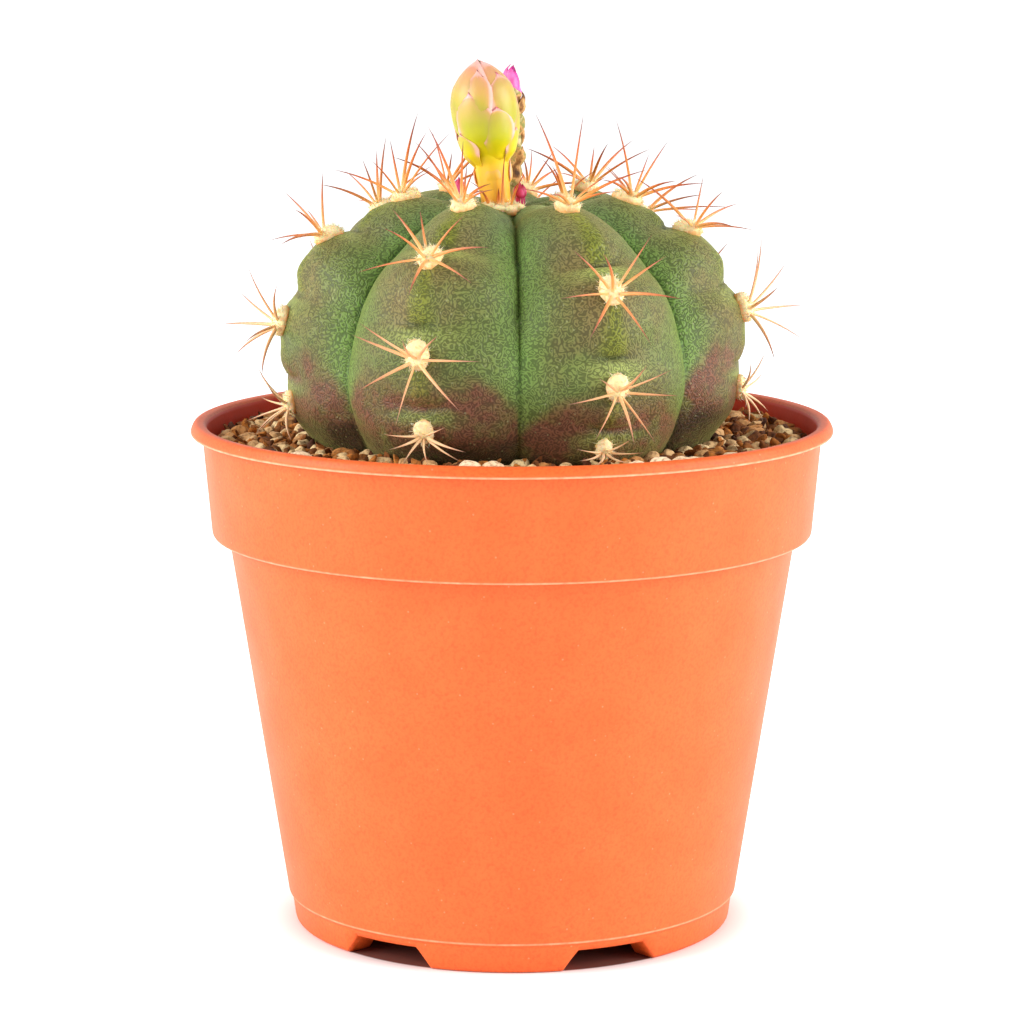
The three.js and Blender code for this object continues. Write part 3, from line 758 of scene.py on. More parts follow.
@dataclass(frozen=True)
class BudFlesh(Finish):
    """A flower bud's fleshy scales: smooth and waxy, orange-yellow at the tube, lime on the head, with pink
    margins and a crimson point."""

    heights: tuple[tuple[float, str], ...] = (
        (0.0, "#f2b040"),
        (0.3, "#f8c22e"),
        (0.4, "#eed202"),
        (0.5, "#c4bf02"),
        (0.62, "#b0ac0c"),
        (0.8, "#bea63a"),
        (1.0, "#c89660"),
    )
    margin: str = "#ffbcae"
    blush: str = "#ea9280"
    point: str = "#e04878"
    vein_size: float = 1.7
    wander: float = 0.08

    def paint(self, box: PaintBox) -> None:
        """Runs the tones up the bud, then lays the blushes, margins and points over them.

        Args:
            box: what the finish is painted with.
        """
        height, edge, tip, warm = [box.mask(name) for name in ("height", "edge", "tip", "warm")]
        vein = box.noise(box.place(), self.vein_size, 3)
        moved = box.maths("MULTIPLY_ADD", vein, self.wander, height)
        colour = box.ramp(box.maths("SUBTRACT", moved, self.wander / 2), self.heights)
        tints = (
            (warm, self.blush, 0.75),
            (edge, self.blush, 0.6),
            (box.ranged(edge, 0.5, 0.9), self.margin, 1.1),
            (tip, self.point, 1.0),
        )
        for mask, tone, most in tints:
            broken = box.ranged(vein, 0.3, 0.7, 0.7 * most, most)
            colour = box.mix(box.maths("MULTIPLY", mask, broken, clamp=True), colour, linear(tone))
        box.give(
            Base_Color=colour,
            Roughness=0.42,
            Normal=box.bump(vein, 0.25, 0.1),
            Subsurface_Weight=0.2,
            Subsurface_Radius=(1.0, 0.7, 0.2),
            Subsurface_Scale=1.2 * MM,
        )


@dataclass(frozen=True)
class DriedTissue(Finish):
    """Dead flower tissue: papery, wrinkled and matt, in patches of brown, straw and faded green."""

    tones: tuple[tuple[float, str], ...] = (
        (0.3, "#53351d"),
        (0.4, "#946534"),
        (0.48, "#d8a566"),
        (0.56, "#7f8440"),
        (0.68, "#eccb9c"),
    )
    patch_size: float = 2.4
    wrinkle_size: float = 0.8

    def paint(self, box: PaintBox) -> None:
        """Patches the tissue with its tones and wrinkles it.

        Args:
            box: what the finish is painted with.
        """
        place = box.place()
        wrinkle = box.noise(place, self.wrinkle_size, 3, Distortion=0.8)
        box.give(
            Base_Color=box.ramp(box.noise(place, self.patch_size, 4), self.tones),
            Roughness=box.ranged(wrinkle, start=0.7, end=0.95),
            Normal=box.bump(wrinkle, 0.8, 0.2),
        )


@dataclass(frozen=True)
class PetalTissue(Finish):
    """Petal tissue: thin and satiny, deeper towards its veins and tip."""

    light: str = "#f07ac0"
    deep: str = "#cf1f8c"
    vein_size: float = 1.2

    def paint(self, box: PaintBox) -> None:
        """Veins the petal and deepens it towards its tip.

        Args:
            box: what the finish is painted with.
        """
        vein = box.noise(box.place(), self.vein_size, 2)
        deeper = box.maths("ADD", vein, box.mask("edge"), clamp=True)
        box.give(
            Base_Color=box.mix(
                box.ranged(deeper, 0.35, 0.9), linear(self.light), linear(self.deep)
            ),
            Roughness=0.5,
            Normal=box.bump(vein, 0.3, 0.1),
            Subsurface_Weight=0.2,
            Subsurface_Scale=0.8 * MM,
        )


@dataclass(frozen=True)
class LooseGrit(Finish):
    """A part of the potting grit: dry, pitted and matt. Each grain has its own shade between two tones."""

    light: str = "#ffe0a6"
    dark: str = "#c47a30"
    stain: str = "#5c2602"
    pit_size: float = 0.7

    def paint(self, box: PaintBox) -> None:
        """Shades each grain and pits and stains its surface.

        Args:
            box: what the finish is painted with.
        """
        pit = box.noise(box.place(), self.pit_size, 4)
        grain = box.mix(box.mask("shade"), linear(self.light), linear(self.dark))
        box.give(
            Base_Color=box.mix(box.ranged(pit, 0.45, 0.7, 0.0, 0.7), grain, linear(self.stain)),
            Roughness=box.ranged(pit, start=0.8, end=1.0),
            Normal=box.bump(pit, 0.8, 0.25),
        )


@dataclass(frozen=True)
class StudioFloor(Finish):
    """A light table's top: matt white acrylic that glows from below, so that shadows on it stay faint, with a
    dark disc of painted shade under the pot, round which the glow fades as a painted shadow."""

    acrylic: str = "#f4f4f4"
    # A disc of painted shade under the pot, seen through the notches in its foot.
    shade_disc: str = "#6e3e32"
    shade_disc_radius: float = 40.8
    shade_disc_edge: float = 0.5
    # The glow is nothing at the disc's edge and full at lit_radius: a painted shadow round the pot's foot.
    glow: float = 0.62
    lit_radius: float = 49

    def paint(self, box: PaintBox) -> None:
        """Sets the acrylic's colour and glow, which fades as a painted shadow near the pot, and lays the disc
        of painted shade where the pot stands.

        Args:
            box: what the finish is painted with.
        """
        away = box.length(box.place())
        bare = box.ranged(away, (self.shade_disc_radius - self.shade_disc_edge) * MM, self.shade_disc_radius * MM)
        box.give(
            # The disc under the pot is painted shade.
            Base_Color=box.mix(bare, linear(self.shade_disc), linear(self.acrylic)),
            Roughness=0.9,
            Emission_Color=linear(self.acrylic),
            # The glow fades out towards the pot as a painted shadow.
            Emission_Strength=box.ranged(
                away, self.shade_disc_radius * MM, self.lit_radius * MM, 0.0, self.glow
            ),
        )


# The pot


@dataclass
class Pot:
    """A thin moulded pot with a stepped collar, a flanged rim and notches in its foot ring."""

    height: float = 95.5
    wall: float = 0.95
    rim_radius: float = 60
    rim_thickness: float = 2.3
    rim_edge: float = 0.75
    collar_top: float = 57.9
    collar_foot: float = 56.2
    collar_height: float = 74
    body_top: float = 53.2
    body_foot: float = 42.6
    band_height: float = 5.6
    band_step: float = 0.6
    band_rise: float = 0.6
    base_radius: float = 41.3
    foot_inner: float = 35.6
    floor_height: float = 4.2
    floor_thickness: float = 1.2
    notches: tuple[float, ...] = (-34, 26, 146, 206)
    notch_foot: float = 9.4
    notch_top: float = 6.6
    notch_height: float = 3.8
    drain_radius: float = 3.6
    drain_ring: float = 23
    drains: int = 6
    drill: Pair = (2, 8)  # the heights between which a drain hole is drilled
    lip_drop: float = 1.1
    # How far below the top the inner wall's painted shade begins, and how strong it is.
    inside_drop: float = 0.8
    inside_shade_amount: float = 0.85
    turn_step: float = 1.25
    nudges: tuple[float, ...] = (-0.25, -0.1, 0.1, 0.25)
    finish: Finish = MouldedPolypropylene("moulded polypropylene, terracotta coloured")

    def wall_radius(self, height: float) -> float:
        """The outer radius of the tapered wall at a height."""
        share = (height - self.band_height) / (self.collar_height - self.band_height)
        return self.body_foot + share * (self.body_top - self.body_foot)

    def collar_radius(self, height: float) -> float:
        """The outer radius of the collar at a height."""
        share = (height - self.collar_height) / (self.height - self.rim_thickness - self.collar_height)
        return self.collar_foot + share * (self.collar_top - self.collar_foot)

    def per_degree(self) -> float:
        """How far round the foot ring one degree reaches."""
        return math.radians(self.base_radius)

    def outline(self) -> list[Pair]:
        """The pot's section, with each corner rounded by its own fillet.

        Returns:
            The (radius, height) points from the underside's middle round to the floor's middle.
        """
        under = self.height - self.rim_thickness
        floor_top = self.floor_height + self.floor_thickness
        shelf = self.collar_height + self.wall
        wall_in = self.wall_radius(shelf) - self.wall
        band_foot = self.band_height - self.band_rise
        lip_radius = self.collar_top - self.wall
        # Each corner's radius, height and fillet. The rim's top falls towards the inside.
        corners = [
            (0, self.floor_height, 0),
            (self.foot_inner, self.floor_height, 0.4),
            (self.foot_inner + 0.1, 0, 0.5),
            (self.base_radius, 0, 0.9),
            (self.body_foot - self.band_step, band_foot, 0.15),
            (self.body_foot, self.band_height, 0.3),
            (self.wall_radius(self.collar_height), self.collar_height, 0.35),
            (self.collar_foot, self.collar_height, 1.0),
            (self.collar_top, under, 0.35),
            (self.rim_radius, under, 0.3),
            (self.rim_radius, under + self.rim_edge, 0.4),
            (self.rim_radius - 0.7, self.height - 0.1, 0.9),
            (lip_radius + 0.5, self.height - 0.35, 0.6),
            (lip_radius, self.height - self.lip_drop, 0.4),
            (self.collar_radius(shelf) - self.wall, shelf, 0.5),
            (wall_in, shelf, 0.5),
            (self.wall_radius(floor_top) - self.wall, floor_top, 0.8),
            (0, floor_top, 0),
        ]
        return filleted(corners)

    def azimuths(self) -> Array:
        """Finds the outline's places round the pot: even, and closer together at the notches' sides.

        Returns:
            The azimuths, in order.
        """
        middle = (self.notch_foot + self.notch_top) / 2
        places = list(np.arange(0, 360, self.turn_step))
        for notch in self.notches:
            for half in (self.notch_foot, self.notch_top, middle):
                for side in (-1, 1):
                    for nudge in self.nudges:
                        places.append((notch + side * half / self.per_degree() + nudge) % 360)
        return np.array(sorted(places))

    def lift(self, azimuths: Array) -> Array:
        """Finds how far the notches lift the foot ring's underside.

        Args:
            azimuths: places round the pot.

        Returns:
            The lift at each of them.
        """
        lifted = np.zeros_like(azimuths)
        for notch in self.notches:
            away = np.abs((azimuths - notch + 180) % 360 - 180) * self.per_degree()
            share = np.clip((self.notch_foot - away) / (self.notch_foot - self.notch_top), 0, 1)
            lifted = np.maximum(lifted, self.notch_height * share)
        return lifted

    def build(self) -> None:
        """Turns the section round, lifts the foot ring at the notches and drills the drain holes."""
        outline = np.array(self.outline())
        azimuths = self.azimuths()
        lifted = self.lift(azimuths)
        top = self.floor_height
        rows = []
        for radius, height in outline:
            rise = lifted * np.clip(1 - height / top, 0, 1)
            rows.append(heading(azimuths) * radius + np.outer(height + rise, [0, 0, 1]))
        faces = grid_faces(len(rows), len(azimuths), closed=True)
        # The inner wall below the lip is marked for its painted shade.
        past_lip = np.arange(len(outline)) > np.argmax(outline[:, 1])
        below_lip = outline[:, 1] < self.height - self.inside_drop
        masks = {"painted_inside_shade": np.repeat(past_lip & below_lip, len(azimuths)) * self.inside_shade_amount}
        shell = mesh_piece(
            "pot_shell", np.concatenate(rows), faces, self.finish.material(), masks, crease=50
        )
        self.drill_drains(shell)
        settle(shell, Slot.POT, "pot")

    def drill_drains(self, shell: bpy.types.Object) -> None:
        """Cuts the drain holes through the floor.

        Args:
            shell: the pot.
        """
        turns = [heading(360.0 * (i + 0.5) / self.drains) * self.drain_ring for i in range(self.drains)]
        sides = np.linspace(0, 360, 24, endpoint=False)
        foot, top = self.drill
        drills = []
        for centre in [np.zeros(3), *turns]:
            rows = []
            for radius, height in ((0, foot), (self.drain_radius, foot), (self.drain_radius, top), (0, top)):
                rows.append(circle(sides, radius, height) + centre)
            drills.append((np.concatenate(rows), grid_faces(4, len(sides), closed=True), {}))
        points, faces, _ = joined(drills)
        cutter = mesh_piece("drills", points, faces, shell.data.materials[0])
        modifier = shell.modifiers.new("drains", "BOOLEAN")
        modifier.object = cutter
        modifier.operation = "DIFFERENCE"
        modifier.solver = "EXACT"
        depsgraph = bpy.context.evaluated_depsgraph_get()
        cut = bpy.data.meshes.new_from_object(shell.evaluated_get(depsgraph), depsgraph=depsgraph)
        shell.modifiers.clear()
        shell.data = cut
        bpy.data.objects.remove(cutter)


def filleted(corners: Sequence[Point], steps: int = 4) -> list[Pair]:
    """Rounds an outline's corners.

    Args:
        corners: each corner as (radius, height, fillet), where a fillet of 0 keeps it sharp.
        steps: how many stretches a rounding has.

    Returns:
        The (radius, height) points of the rounded outline.
    """
    places = [np.array(corner[:2], dtype=float) for corner in corners]
    points = []
    for i, (corner, (_, _, fillet)) in enumerate(zip(places, corners)):
        if fillet == 0 or i in (0, len(corners) - 1):
            points.append(tuple(corner))
            continue
        before, after = places[i - 1] - corner, places[i + 1] - corner
        reach = min(fillet, 0.48 * np.linalg.norm(before), 0.48 * np.linalg.norm(after))
        start, end = corner + unit(before) * reach, corner + unit(after) * reach
        for share in np.linspace(0, 1, steps + 1):
            bend = (1 - share) ** 2 * start + 2 * share * (1 - share) * corner + share**2 * end
            points.append(tuple(bend))
    return points


# The globe

# Down each rib, from the front left one: each areole's (path, degrees aside of the ridge, relative size).
AREOLES = (
    ((21.5, 0, 1.0), (38.5, 0.6, 1.0), (56.3, 1.4, 1.0), (70.3, 1.8, 0.8)),
    ((22.0, -0.8, 1.0), (45.2, -2.6, 1.0), (62.2, -2.3, 0.9), (74.0, -3.8, 0.7)),
    ((21.5, 0, 1.0), (34.0, -1.0, 1.0), (51.5, 0, 1.0), (66.2, 0, 0.8)),
    ((17.5, -2, 1.0), (33.5, 1.0, 1.0), (51.0, -1.0, 1.0), (67.5, 1.5, 0.8)),
    ((22.0, -9, 1.0), (38.5, -3, 1.0), (56.0, 1.0, 1.0), (71.0, -1.5, 0.8)),
    ((14.5, 0, 0.8), (31.0, 0, 1.0), (49.0, 1.2, 1.0), (65.5, -1.5, 0.8)),
    ((20.0, 0, 1.0), (35.8, 0, 1.0), (53.6, 0, 1.0), (68.7, 0, 0.8)),
)


@dataclass
class Globe:
    """The ribbed globe: a squat superellipse, dimpled at the crown, cut by grooves and swollen into
    tubercles."""

    radius: float = 43.1
    middle: float = 111
    above: float = 27.2
    below: float = 34
    power: float = 2.4
    dimple: float = 3.2
    dimple_radius: float = 9
    # The grooves between ribs, which are shallower at the crown and low down.
    groove: float = 6.6
    groove_open: Pair = (0, 15)
    groove_close: float = 34
    groove_fading: float = 0.45
    groove_wane: Pair = (44, 68)
    crown_fading: float = 0.38
    crown_wane: Pair = (16, 40)
    sharpness: float = 2.0
    # The tubercles, and the weights that soften where one meets the next, each after its shift.
    swell: float = 3.7
    swell_offset: float = 0.76
    swell_lean: float = 0.8
    swell_roundness: float = 0.75
    swell_across: float = 1.4
    swell_begin: Pair = (6, 20)
    swell_fading: float = 0.6
    swell_wane: Pair = (50, 64)
    swell_end: Pair = (76, 84)
    softening: tuple[Pair, ...] = (
        (-2.6, 0.12), (-1.3, 0.23), (0, 0.3), (1.3, 0.23), (2.6, 0.12),
    )
    first_share: float = 0.62
    last_reach: float = 10
    # The creases between tubercles, of which the lowest is wider.
    crease_share: float = 0.72
    crease_depth: float = 0.7
    crease_half: float = 3.1
    crease_widening: float = 1.5
    crease_width: float = 0.55
    crease_bend: float = 0.03
    # The chins above the creases, and the band of painted highlight below them.
    chin_half: float = 2.6
    chin_height: float = 1.1
    chin_share: float = 0.28
    chin_width: float = 3.4
    lit_half: float = 6.5
    # The dip in the crown in front of the bud: its middle, radius and depth.
    dip_place: Pair = (-1, -8)
    dip_radius: float = 5
    crown_dip: float = 1.5
    # The seams in the grooves, and the waves that they wander by: height, length, turn from rib to rib.
    seam_depth: float = 0.55
    seam_half: float = 0.5
    seam_fading: float = 0.65
    seam_wane: Pair = (40, 64)
    seam_waves: tuple[tuple[float, float, int], ...] = ((0.2, 2.7, 2), (0.12, 1.3, 1))
    # The stain near the grit, and the clear lens in it above each lowest areole.
    stain_lead: float = 6.5
    stain_rise: float = 6
    lens_half: float = 8.5
    lens_clearing: float = 0.9
    # The skin's lumps: each one's height, as a share of the whole, and size.
    lump_height: float = 0.35
    lumps: tuple[Pair, ...] = ((1, 9), (0.35, 3.4))
    calm: Pair = (6, 16)
    rows: int = 190
    columns: int = 38
    # The taproot, downwards, as radii and heights.
    root: tuple[Pair, ...] = (
        (11.5, 77), (9.3, 69.5), (7.1, 62), (4.8, 54), (3, 48.6), (0, 48),
    )
    finish: Finish = CactusEpidermis("cactus epidermis, waxy grey-green")
    paths: Array = field(init=False)
    radii: Array = field(init=False)
    heights: Array = field(init=False)

    def __post_init__(self) -> None:
        """Measures the ridge line out from the crown to the underside."""
        angle = np.linspace(0, math.pi, 401)
        lift = np.abs(np.cos(angle)) ** (2 / self.power)
        self.radii = self.radius * np.abs(np.sin(angle)) ** (2 / self.power)
        dimple = self.dimple * hump(self.radii, self.dimple_radius)
        rise = np.where(angle < math.pi / 2, self.above * lift - dimple, -self.below * lift)
        self.heights = self.middle + rise
        steps = np.hypot(np.diff(self.radii), np.diff(self.heights))
        self.paths = np.concatenate([[0], np.cumsum(steps)])

    def creases(self, rib: int) -> list[float]:
        """Finds where a rib's tubercles begin and end.

        Args:
            rib: the rib's number.

        Returns:
            The paths.
        """
        paths = [areole[0] for areole in AREOLES[rib]]
        between = [a + self.crease_share * (b - a) for a, b in zip(paths, paths[1:])]
        return [self.first_share * paths[0], *between, paths[-1] + self.last_reach]

    def swelling(self, rib: int, path: Array) -> Array:
        """Finds how far a rib's tubercles swell, for a height of 1.

        Args:
            rib: the rib's number.
            path: the paths.

        Returns:
            The swelling at each path, less the offset.
        """
        creases = self.creases(rib)
        total = np.zeros_like(path)
        for shift, weight in self.softening:
            swollen = np.zeros_like(path)
            for start, end in zip(creases, creases[1:]):
                share = np.clip((path + shift - start) / (end - start), 0, 1)
                bell = np.sin(math.pi * share**self.swell_lean) ** self.swell_roundness
                swollen = np.maximum(swollen, bell)
            total = total + weight * swollen
        return total - self.swell_offset

    def skin(
        self, azimuth: Array | float, path: Array | float, margin: float = 0, fine: bool = False
    ) -> tuple[Array, Masks]:
        """The skin's points.

        Args:
            azimuth: the azimuths in degrees.
            path: the paths, as many as the azimuths.
            margin: how far the skin is grown outwards.
            fine: whether creases, chins, seams and lumps are added.

        Returns:
            The points, one a row, and their masks, which are empty unless fine is true.
        """
        azimuth, path = np.broadcast_arrays(np.asarray(azimuth, float), np.asarray(path, float))
        place = (azimuth - FIRST_RIB) * RIBS / 360
        nearest = np.floor(place + 0.5)
        across = 2 * (place - nearest)
        rib = nearest.astype(int) % RIBS
        r = np.interp(path, self.paths, self.radii)
        z = np.interp(path, self.paths, self.heights)
        outward = np.interp(path, self.paths, -np.gradient(self.heights, self.paths))
        upward = np.interp(path, self.paths, np.gradient(self.radii, self.paths))
        end = self.paths[-1]
        closing = smooth(path, end - self.groove_close, end)
        opened = smooth(path, *self.groove_open) * (1 - closing)
        swollen = np.zeros_like(path)
        for i in range(RIBS):
            swollen = np.where(rib == i, self.swelling(i, path), swollen)
        fade = smooth(path, *self.swell_begin) * (1 - self.swell_fading * smooth(path, *self.swell_wane))
        fade = fade * (1 - smooth(path, *self.swell_end))
        move = self.swell * fade * swollen * (1 - across**2) ** self.swell_across
        depth = self.groove * opened * (1 - self.groove_fading * smooth(path, *self.groove_wane))
        depth = depth * (1 - self.crown_fading * (1 - smooth(path, *self.crown_wane)))
        move = move - depth * np.abs(across) ** self.sharpness + margin
        masks: Masks = {}
        if fine:
            relief, masks = self.details(rib, across, path, r, opened)
            dip_x, dip_y = self.dip_place
            angle = np.radians(azimuth)
            from_dip = np.hypot(r * np.sin(angle) - dip_x, -dip_y - r * np.cos(angle))
            move = move + relief - self.crown_dip * hump(from_dip, self.dip_radius)
        points = heading(azimuth) * np.maximum(0, r + outward * move)[..., None]
        points[..., 2] = z + upward * move
        return points, masks

    def details(
        self, rib: Array, across: Array, path: Array, r: Array, opened: Array
    ) -> tuple[Array, Masks]:
        """The fine relief of the skin and the masks that its finish reads.

        Args:
            rib: each point's rib.
            across: its place across the rib, from -1 to 1.
            path: its path.
            r: the ridge's radius there.
            opened: how open the grooves are there.

        Returns:
            How far each point moves outwards, and the masks.
        """
        half = math.pi * r / RIBS
        side = across * half
        wander = sum(
            height * np.sin(path / length + turn * rib) for height, length, turn in self.seam_waves
        )
        gap = np.abs((1 - np.abs(across)) * half + wander * np.sign(across))
        deep = opened * (1 - self.seam_fading * smooth(path, *self.seam_wane))
        # The seam dips the relief, and its mask is painted shade along each groove's bottom.
        seam = hump(gap, self.seam_half) * deep
        relief = -self.seam_depth * seam
        chin, crease_shade, stain, base, lit = (np.zeros_like(path) for _ in range(5))
        for i in range(RIBS):
            here = rib == i
            creases = self.creases(i)
            last = len(AREOLES[i]) - 1
            for k, (areole, aside, _) in enumerate(AREOLES[i]):
                off = side - math.radians(aside) * r
                crease = creases[k + 1]
                bent = path - crease + self.crease_bend * off**2
                strong = 1.0 if k < last else 0.0
                wide = self.crease_half + (self.crease_widening if k == last - 1 else 0)
                line = here * strong * hump(bent, self.crease_width) * np.exp(-((off / wide) ** 4))
                relief = relief - self.crease_depth * line
                # The crease's dark line is painted shade.
                crease_shade = np.maximum(crease_shade, line)
                low = self.chin_share * (crease - areole)
                bulge = hump(path - crease + low, 0.75 * low + 0.6) * hump(off, self.chin_width)
                relief = relief + here * strong * self.chin_height * bulge
                below = smooth(path, crease, crease + 1.5) * (1 - smooth(path, crease + 2.5, crease + 6))
                # The band below the crease is a painted highlight.
                lit = np.maximum(lit, here * strong * below * hump(off, self.lit_half))
                band = smooth(path, areole + 1.5, areole + 4) * (1 - smooth(path, crease - 1.0, crease))
                widening = self.chin_half * (0.4 + 0.6 * smooth(path, areole, crease))
                chin = np.maximum(chin, here * band * np.exp(-((off / widening) ** 4)))
            lowest, last_crease = AREOLES[i][last][0], creases[last]
            start = last_crease - self.stain_lead
            start = start + 6 * across**4 - 2 * hump(np.abs(across) - 0.55, 0.25)
            lens = np.exp(-((side / self.lens_half) ** 4))
            lens = lens * smooth(path, last_crease - 0.5, last_crease + 1.5)
            lens = lens * (1 - smooth(path, lowest - 2.5, lowest + 0.5))
            stained = smooth(path, start, start + self.stain_rise) * (1 - self.lens_clearing * lens)
            stain = np.where(here, stained, stain)
            # Below the lowest areole the stain deepens, partly as painted shade.
            base = np.where(here, smooth(path, lowest + 1, lowest + 6), base)
        fresh = smooth(np.abs(across), 0.56, 1.0) * smooth(path, 12, 30) * (1 - 0.5 * smooth(path, 60, 72))
        crest = 1 - smooth(np.abs(across), 0.25, 0.8)
        tan = crest * smooth(path, 10, 20) * (1 - smooth(path, 48, 60))
        young = (1 - smooth(path, 16, 44)) * (1 - 0.55 * crest * smooth(path, 10, 20))
        masks = {
            "fresh": fresh,
            "young": young,
            "lit": lit,
            "seam": seam,
            "chin": chin,
            "crease": crease_shade,
            "tan": tan,
            "stain": stain,
            "base": base,
        }
        return relief, masks

    def frame(self, azimuth: float, path: float) -> tuple[Array, Array, Array, Array]:
        """Finds how the skin lies at one place.

        Args:
            azimuth: the place's azimuth.
            path: its path.

        Returns:
            The point, the outward normal, the direction to the crown and the one to the side.
        """
        step = 0.8
        point = self.skin(azimuth, path)[0]
        up = unit(self.skin(azimuth, path - step)[0] - self.skin(azimuth, path + step)[0])
        turn = math.degrees(step / math.hypot(point[0], point[1]))
        across = self.skin(azimuth + turn, path)[0] - self.skin(azimuth - turn, path)[0]
        normal = unit(np.cross(across, up))
        return point, normal, up, np.cross(up, normal)

    def build(self) -> None:
        """Lays the skin's rows from the crown to the underside, and the taproot below them."""
        even = np.linspace(-1, 1, self.columns, endpoint=False)
        places = 0.5 * even + 0.5 * np.sin(even * math.pi / 2)
        azimuths = np.concatenate([FIRST_RIB + (rib + places / 2) * 360 / RIBS for rib in range(RIBS)])
        neck = self.root[0][0] + 1
        last = np.interp(-neck, -self.radii[200:], self.paths[200:])
        paths = np.linspace(0.4, last, self.rows)
        points, masks = self.skin(
            np.tile(azimuths, len(paths)), np.repeat(paths, len(azimuths)), fine=True
        )
        normal = points - np.array([0, 0, self.middle])
        normal /= np.linalg.norm(normal, axis=1)[:, None]
        lump = sum(share * ripple(points, size) for share, size in self.lumps)
        calmed = smooth(np.repeat(paths, len(azimuths)), *self.calm)
        points = points + normal * (self.lump_height * lump * calmed)[:, None]
        crown = np.array([[0, 0, points[: len(azimuths), 2].mean()]] * len(azimuths))
        root = [circle(azimuths, radius, height) for radius, height in self.root]
        points = np.concatenate([crown, points, *root])
        extra = len(azimuths) * len(self.root)
        for mask, values in masks.items():
            below = 1.0 if mask in ("stain", "base") else 0.0
            masks[mask] = np.concatenate([values[: len(azimuths)], values, np.full(extra, below)])
        faces = grid_faces(len(paths) + 1 + len(self.root), len(azimuths), closed=True)
        piece = mesh_piece("globe_skin", points, faces, self.finish.material(), masks, crease=80)
        settle(piece, Slot.SKIN, "cactus_body")


# Areoles: wool and spines


@dataclass
class AreolePlace:
    """Where one areole sits: the CAD node that it stands for, and its pad."""

    node: str
    point: Array
    normal: Array
    up: Array
    side: Array
    size: float
    age: float
    root_lift: float = 0.85
    root_drop: float = 1.2

    def root(self) -> Array:
        """The point that the spines fan out from."""
        return self.point + (self.root_lift * self.normal - self.root_drop * self.up) * self.size


@dataclass
class Spine:
    """One spine: where it stands, where it points, what it bows away from, its sizes and its age."""

    root: Array
    aim: Array
    away: Array
    reach: float
    thick: float
    age: float


